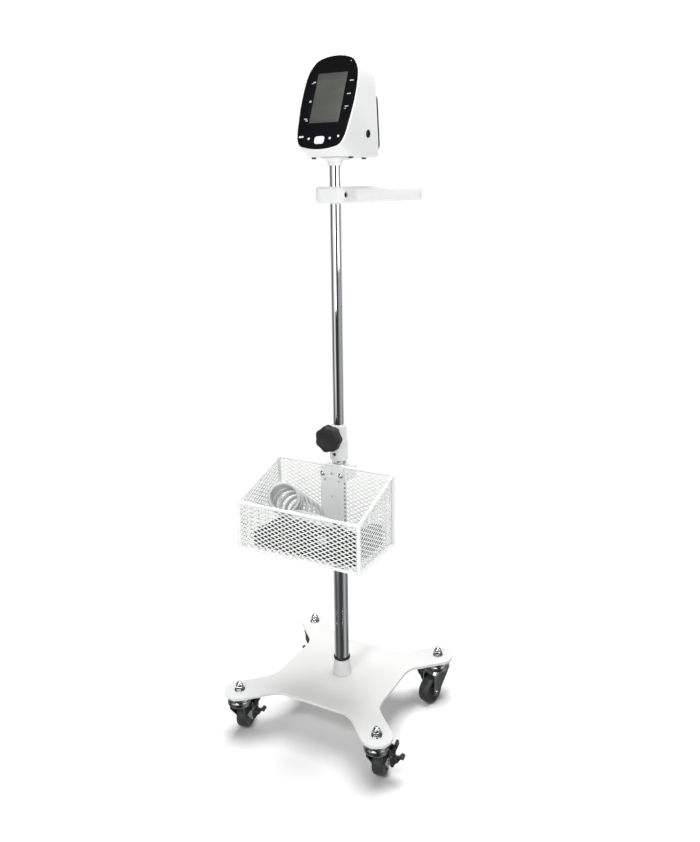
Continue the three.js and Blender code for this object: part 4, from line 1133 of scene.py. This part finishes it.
def folded_band(line, height):
    """Cloth folded in three across its width, stood on edge along a line. height is its top at a point."""
    layers = 3
    lobe = BAND / layers
    around = []
    for k in range(layers):
        for a in range(7):
            angle = math.pi * (1 - a / 6)
            around.append((-BAND / 2 + lobe * (k + 0.5) + lobe / 2 * math.cos(angle), 1,
                           lobe / 2 * math.sin(angle)))
    for step in range(1, 16):
        around.append((BAND / 2, 1 - step / 16, 0))
    for a in range(9):
        angle = math.pi * a / 8
        around.append((BAND / 2 * math.cos(angle), 0, 2.2 - 2.2 * math.sin(angle)))
    for step in range(1, 16):
        around.append((-BAND / 2, step / 16, 0))
    verts, faces = [], []
    size = len(around)
    for i, p in enumerate(line):
        along = (line[min(i + 1, len(line) - 1)] - line[max(i - 1, 0)]).normalized()
        across = Vector((-along.y, along.x, 0))
        top = height(p) - lobe / 2
        pinch = 1 if 0 < i < len(line) - 1 else 0.8
        for n, share, rise in around:
            z = CUFF_UNDER + (top - CUFF_UNDER) * share + rise
            spot = p + across * n * pinch + Vector((0, 0, z))
            crease = noise.noise(Vector((spot.x * 0.045, spot.y * 0.07, spot.z * 0.1)))
            small = noise.noise(Vector((spot.x * 0.16 + 7, spot.y * 0.1, spot.z * 0.05)))
            swell = 0.55 * math.sin(math.pi * share) if rise == 0 else 0
            fold = math.copysign(swell, n) + crease * 0.7 + small * 0.35
            spot += across * fold if abs(n) > 0.1 else Vector()
            spot.z += (crease * 1.6 + small * 0.7) * share
            verts.append(spot)
        if i:
            for k in range(size):
                j = (k + 1) % size
                faces.append(((i - 1) * size + k, (i - 1) * size + j, i * size + j, i * size + k))
    faces.append(tuple(range(size - 1, -1, -1)))
    faces.append(tuple((len(line) - 1) * size + k for k in range(size)))
    return make_mesh(verts, faces)


def add_cuff():
    """A long cuff folded in three across its width, laid to and fro, with its end along the right wall."""
    front = folded_band(cuff_line(), lambda p: cuff_top(p.x))
    tail = folded_band(tail_line(), lambda p: TAIL_TOP - 10 * (p.y + 113.5) / 79.5)
    cuff = piece("folded_cuff", joined(front, tail), CLOTH, "stand", ["cuff"], 70)
    # A sewn edge binding round the outermost layer, and the plain tag at its right.
    binding = []
    for x in range(-92, 97, 4):
        binding.append((x, CUFF_FRONT - 0.3, cuff_top(x) - 6 + 0.5 * math.sin(x * 0.11)))
    piece("cuff_binding", sweep(smooth_path(binding, 4), 0.8, 12), CLOTH, "stand")
    tag = plate(box_outline(9, 7, 1, 47, 433), -CUFF_FRONT + 0.2, -CUFF_FRONT + 0.9, 0.2,
                matrix=facing_front())
    piece("cuff_tag", tag, TAG, "stand")


add_cuff()


# ---------------------------------------------------------------- floor, cards and lights
def staged(name, corners, material):
    mesh = bpy.data.meshes.new(name)
    mesh.from_pydata(corners, [], [tuple(range(len(corners)))])
    mesh.materials.append(material)
    obj = bpy.data.objects.new(name, mesh)
    bpy.context.scene.collection.objects.link(obj)
    return obj


# How bright the camera sees the backdrop, and the floor's own glow.
BACKDROP, FLOOR_GLOW = 1.05, 0.05
# Distances from the origin, in metres, between which the floor fades into the backdrop.
FADE_START, FADE_END = 0.34, 0.60


def floor_material():
    """Pale matt floor with a faint glow of its own, which fades into the white of the studio further out."""
    material = surface("studio_floor", (0.93, 0.93, 0.93), 0.75, tint=0.004, grain=60, bump=0.01)
    nodes, links = material.node_tree.nodes, material.node_tree.links
    shader = nodes["Principled BSDF"]
    shader.inputs["Emission Color"].default_value = (1, 1, 1, 1)
    shader.inputs["Emission Strength"].default_value = FLOOR_GLOW
    place = add_node(nodes, "TexCoord")
    reach = add_node(nodes, "VectorMath", operation="LENGTH")
    links.new(place.outputs["Object"], reach.inputs[0])
    fade = add_node(nodes, "MapRange", {"From Min": FADE_START, "From Max": FADE_END},
                    interpolation_type="SMOOTHSTEP")
    links.new(reach.outputs["Value"], fade.inputs["Value"])
    path = add_node(nodes, "LightPath")
    seen = add_node(nodes, "Math", operation="MULTIPLY")
    links.new(fade.outputs["Result"], seen.inputs[0])
    links.new(path.outputs["Is Camera Ray"], seen.inputs[1])
    white = add_node(nodes, "Emission", {"Strength": BACKDROP})
    mix = add_node(nodes, "MixShader")
    links.new(seen.outputs["Value"], mix.inputs["Fac"])
    links.new(shader.outputs["BSDF"], mix.inputs[1])
    links.new(white.outputs["Emission"], mix.inputs[2])
    links.new(mix.outputs["Shader"], nodes["Material Output"].inputs["Surface"])
    return material


# Brightness of the studio's walls by bearing, as a share of a turn from -X through -Y, +X and +Y.
WALLS = [
    (0.0, 0.55), (0.05, 0.10), (0.11, 0.09), (0.15, 0.80), (0.21, 0.85), (0.245, 0.05), (0.34, 0.02),
    (0.39, 0.14), (0.45, 0.42), (0.54, 0.38), (0.62, 0.34), (0.72, 0.95), (0.90, 0.95), (1.0, 0.55),
]
# The same nearer the floor, where the bright panels end.
LOW_WALLS = [
    (0.0, 0.40), (0.05, 0.10), (0.11, 0.08), (0.15, 0.16), (0.21, 0.18), (0.245, 0.08), (0.34, 0.04),
    (0.39, 0.07), (0.45, 0.30), (0.50, 0.55), (0.56, 0.24), (0.62, 0.12), (0.72, 0.50), (0.90, 0.60),
    (1.0, 0.40),
]
# Slopes of a reflected ray, as its Z: the low walls end, the walls begin, and the walls turn into ceiling.
LOW_WALLS_TOP, WALLS_FOOT = -0.48, -0.30
CEILING_START, CEILING_END, CEILING_LEVEL = 0.25, 0.55, 0.06
FLOOR_REACH = 9
LIGHTS_AIM = Vector((0, 0, 0.6))
# Light for matt surfaces: a sky that is this bright at the horizon, and this much brighter overhead.
SKY_LOW, SKY_RISE = 0.08, 0.30
# Each light's place in metres, size, power in watts, and the pieces it doesn't light.
LIGHTS = {
    "top": ((0, 0.6, 8.0), 4.6, 690, ()),
    "key": ((-0.4, -4.6, 5.0), 0.9, 105, ()),
    "side": ((2.4, -0.7, 1.5), 1.5, 20, ("floor", "base_plate_steel")),
    "front": ((0.4, -5.0, 1.4), 2.6, 54, ("floor",)),
    "back": ((0.6, 2.2, 2.0), 1.8, 8, ("floor",)),
}


def wall_ramp(nodes, levels):
    """A ramp through pairs of a position and a grey level."""
    ramp = add_node(nodes, "ValToRGB")
    elements = ramp.color_ramp.elements
    for position, level in levels[1:-1]:
        elements.new(position)
    for element, (position, level) in zip(elements, levels):
        element.position = position
        element.color = (level, level, level, 1)
    return ramp


def add_studio():
    corners = [(x * FLOOR_REACH, y * FLOOR_REACH, 0) for x, y in ((-1, -1), (1, -1), (1, 1), (-1, 1))]
    floor = staged("floor", corners, floor_material())
    floor.visible_glossy = False

    world = bpy.data.worlds.new("studio")
    bpy.context.scene.world = world
    world.use_nodes = True
    nodes, links = world.node_tree.nodes, world.node_tree.links
    background = nodes["Background"]
    seen = add_node(nodes, "Background", {"Color": (1, 1, 1, 1), "Strength": BACKDROP})
    place = add_node(nodes, "TexCoord")
    split = add_node(nodes, "SeparateXYZ")
    links.new(place.outputs["Generated"], split.inputs["Vector"])
    turn = add_node(nodes, "Math", operation="ARCTAN2")
    links.new(split.outputs["Y"], turn.inputs[0])
    links.new(split.outputs["X"], turn.inputs[1])
    share = add_node(nodes, "MapRange", {"From Min": -math.pi, "From Max": math.pi})
    links.new(turn.outputs["Value"], share.inputs["Value"])
    below = add_node(nodes, "MapRange", {"From Min": LOW_WALLS_TOP, "From Max": WALLS_FOOT})
    links.new(split.outputs["Z"], below.inputs["Value"])
    walls = add_node(nodes, "Mix", data_type="RGBA")
    links.new(below.outputs["Result"], walls.inputs["Factor"])
    for socket, levels in (("A", LOW_WALLS), ("B", WALLS)):
        ramp = wall_ramp(nodes, levels)
        links.new(share.outputs["Result"], ramp.inputs["Fac"])
        entry = next(i for i in walls.inputs if i.name == socket and i.type == "RGBA")
        links.new(ramp.outputs["Color"], entry)
    # Above head height the walls that show in bright metal and gloss give way to a dark ceiling.
    ceiling = add_node(nodes, "MapRange", {"From Min": CEILING_START, "From Max": CEILING_END, "To Min": 1,
                                           "To Max": CEILING_LEVEL}, interpolation_type="SMOOTHSTEP")
    links.new(split.outputs["Z"], ceiling.inputs["Value"])
    links.new(ceiling.outputs["Result"], background.inputs["Strength"])
    painted = next(o for o in walls.outputs if o.type == "RGBA")
    links.new(painted, background.inputs["Color"])

    sky = add_node(nodes, "Background")
    rise = add_node(nodes, "MapRange", {"To Min": SKY_LOW, "To Max": SKY_LOW + SKY_RISE})
    links.new(split.outputs["Z"], rise.inputs["Value"])
    links.new(rise.outputs["Result"], sky.inputs["Strength"])

    path = add_node(nodes, "LightPath")
    matt = add_node(nodes, "MixShader")
    links.new(path.outputs["Is Diffuse Ray"], matt.inputs["Fac"])
    links.new(background.outputs["Background"], matt.inputs[1])
    links.new(sky.outputs["Background"], matt.inputs[2])
    mix = add_node(nodes, "MixShader")
    links.new(path.outputs["Is Camera Ray"], mix.inputs["Fac"])
    links.new(matt.outputs["Shader"], mix.inputs[1])
    links.new(seen.outputs["Background"], mix.inputs[2])
    links.new(mix.outputs["Shader"], nodes["World Output"].inputs["Surface"])

    for name, (at, size, power, unlit) in LIGHTS.items():
        data = bpy.data.lights.new(name, "AREA")
        data.shape = "SQUARE"
        data.size = size
        data.energy = power
        light = bpy.data.objects.new(name, data)
        light.location = at
        light.rotation_mode = "QUATERNION"
        light.rotation_quaternion = (LIGHTS_AIM - Vector(at)).to_track_quat("-Z", "Y")
        bpy.context.scene.collection.objects.link(light)
        if unlit:
            lit = bpy.data.collections.new(f"lit_by_{name}")
            for obj in bpy.context.scene.objects:
                if obj.type == "MESH" and obj.name not in unlit:
                    lit.objects.link(obj)
            light.light_linking.receiver_collection = lit
    bpy.context.scene.view_settings.view_transform = "Standard"
    bpy.context.scene.view_settings.look = "None"


add_studio()
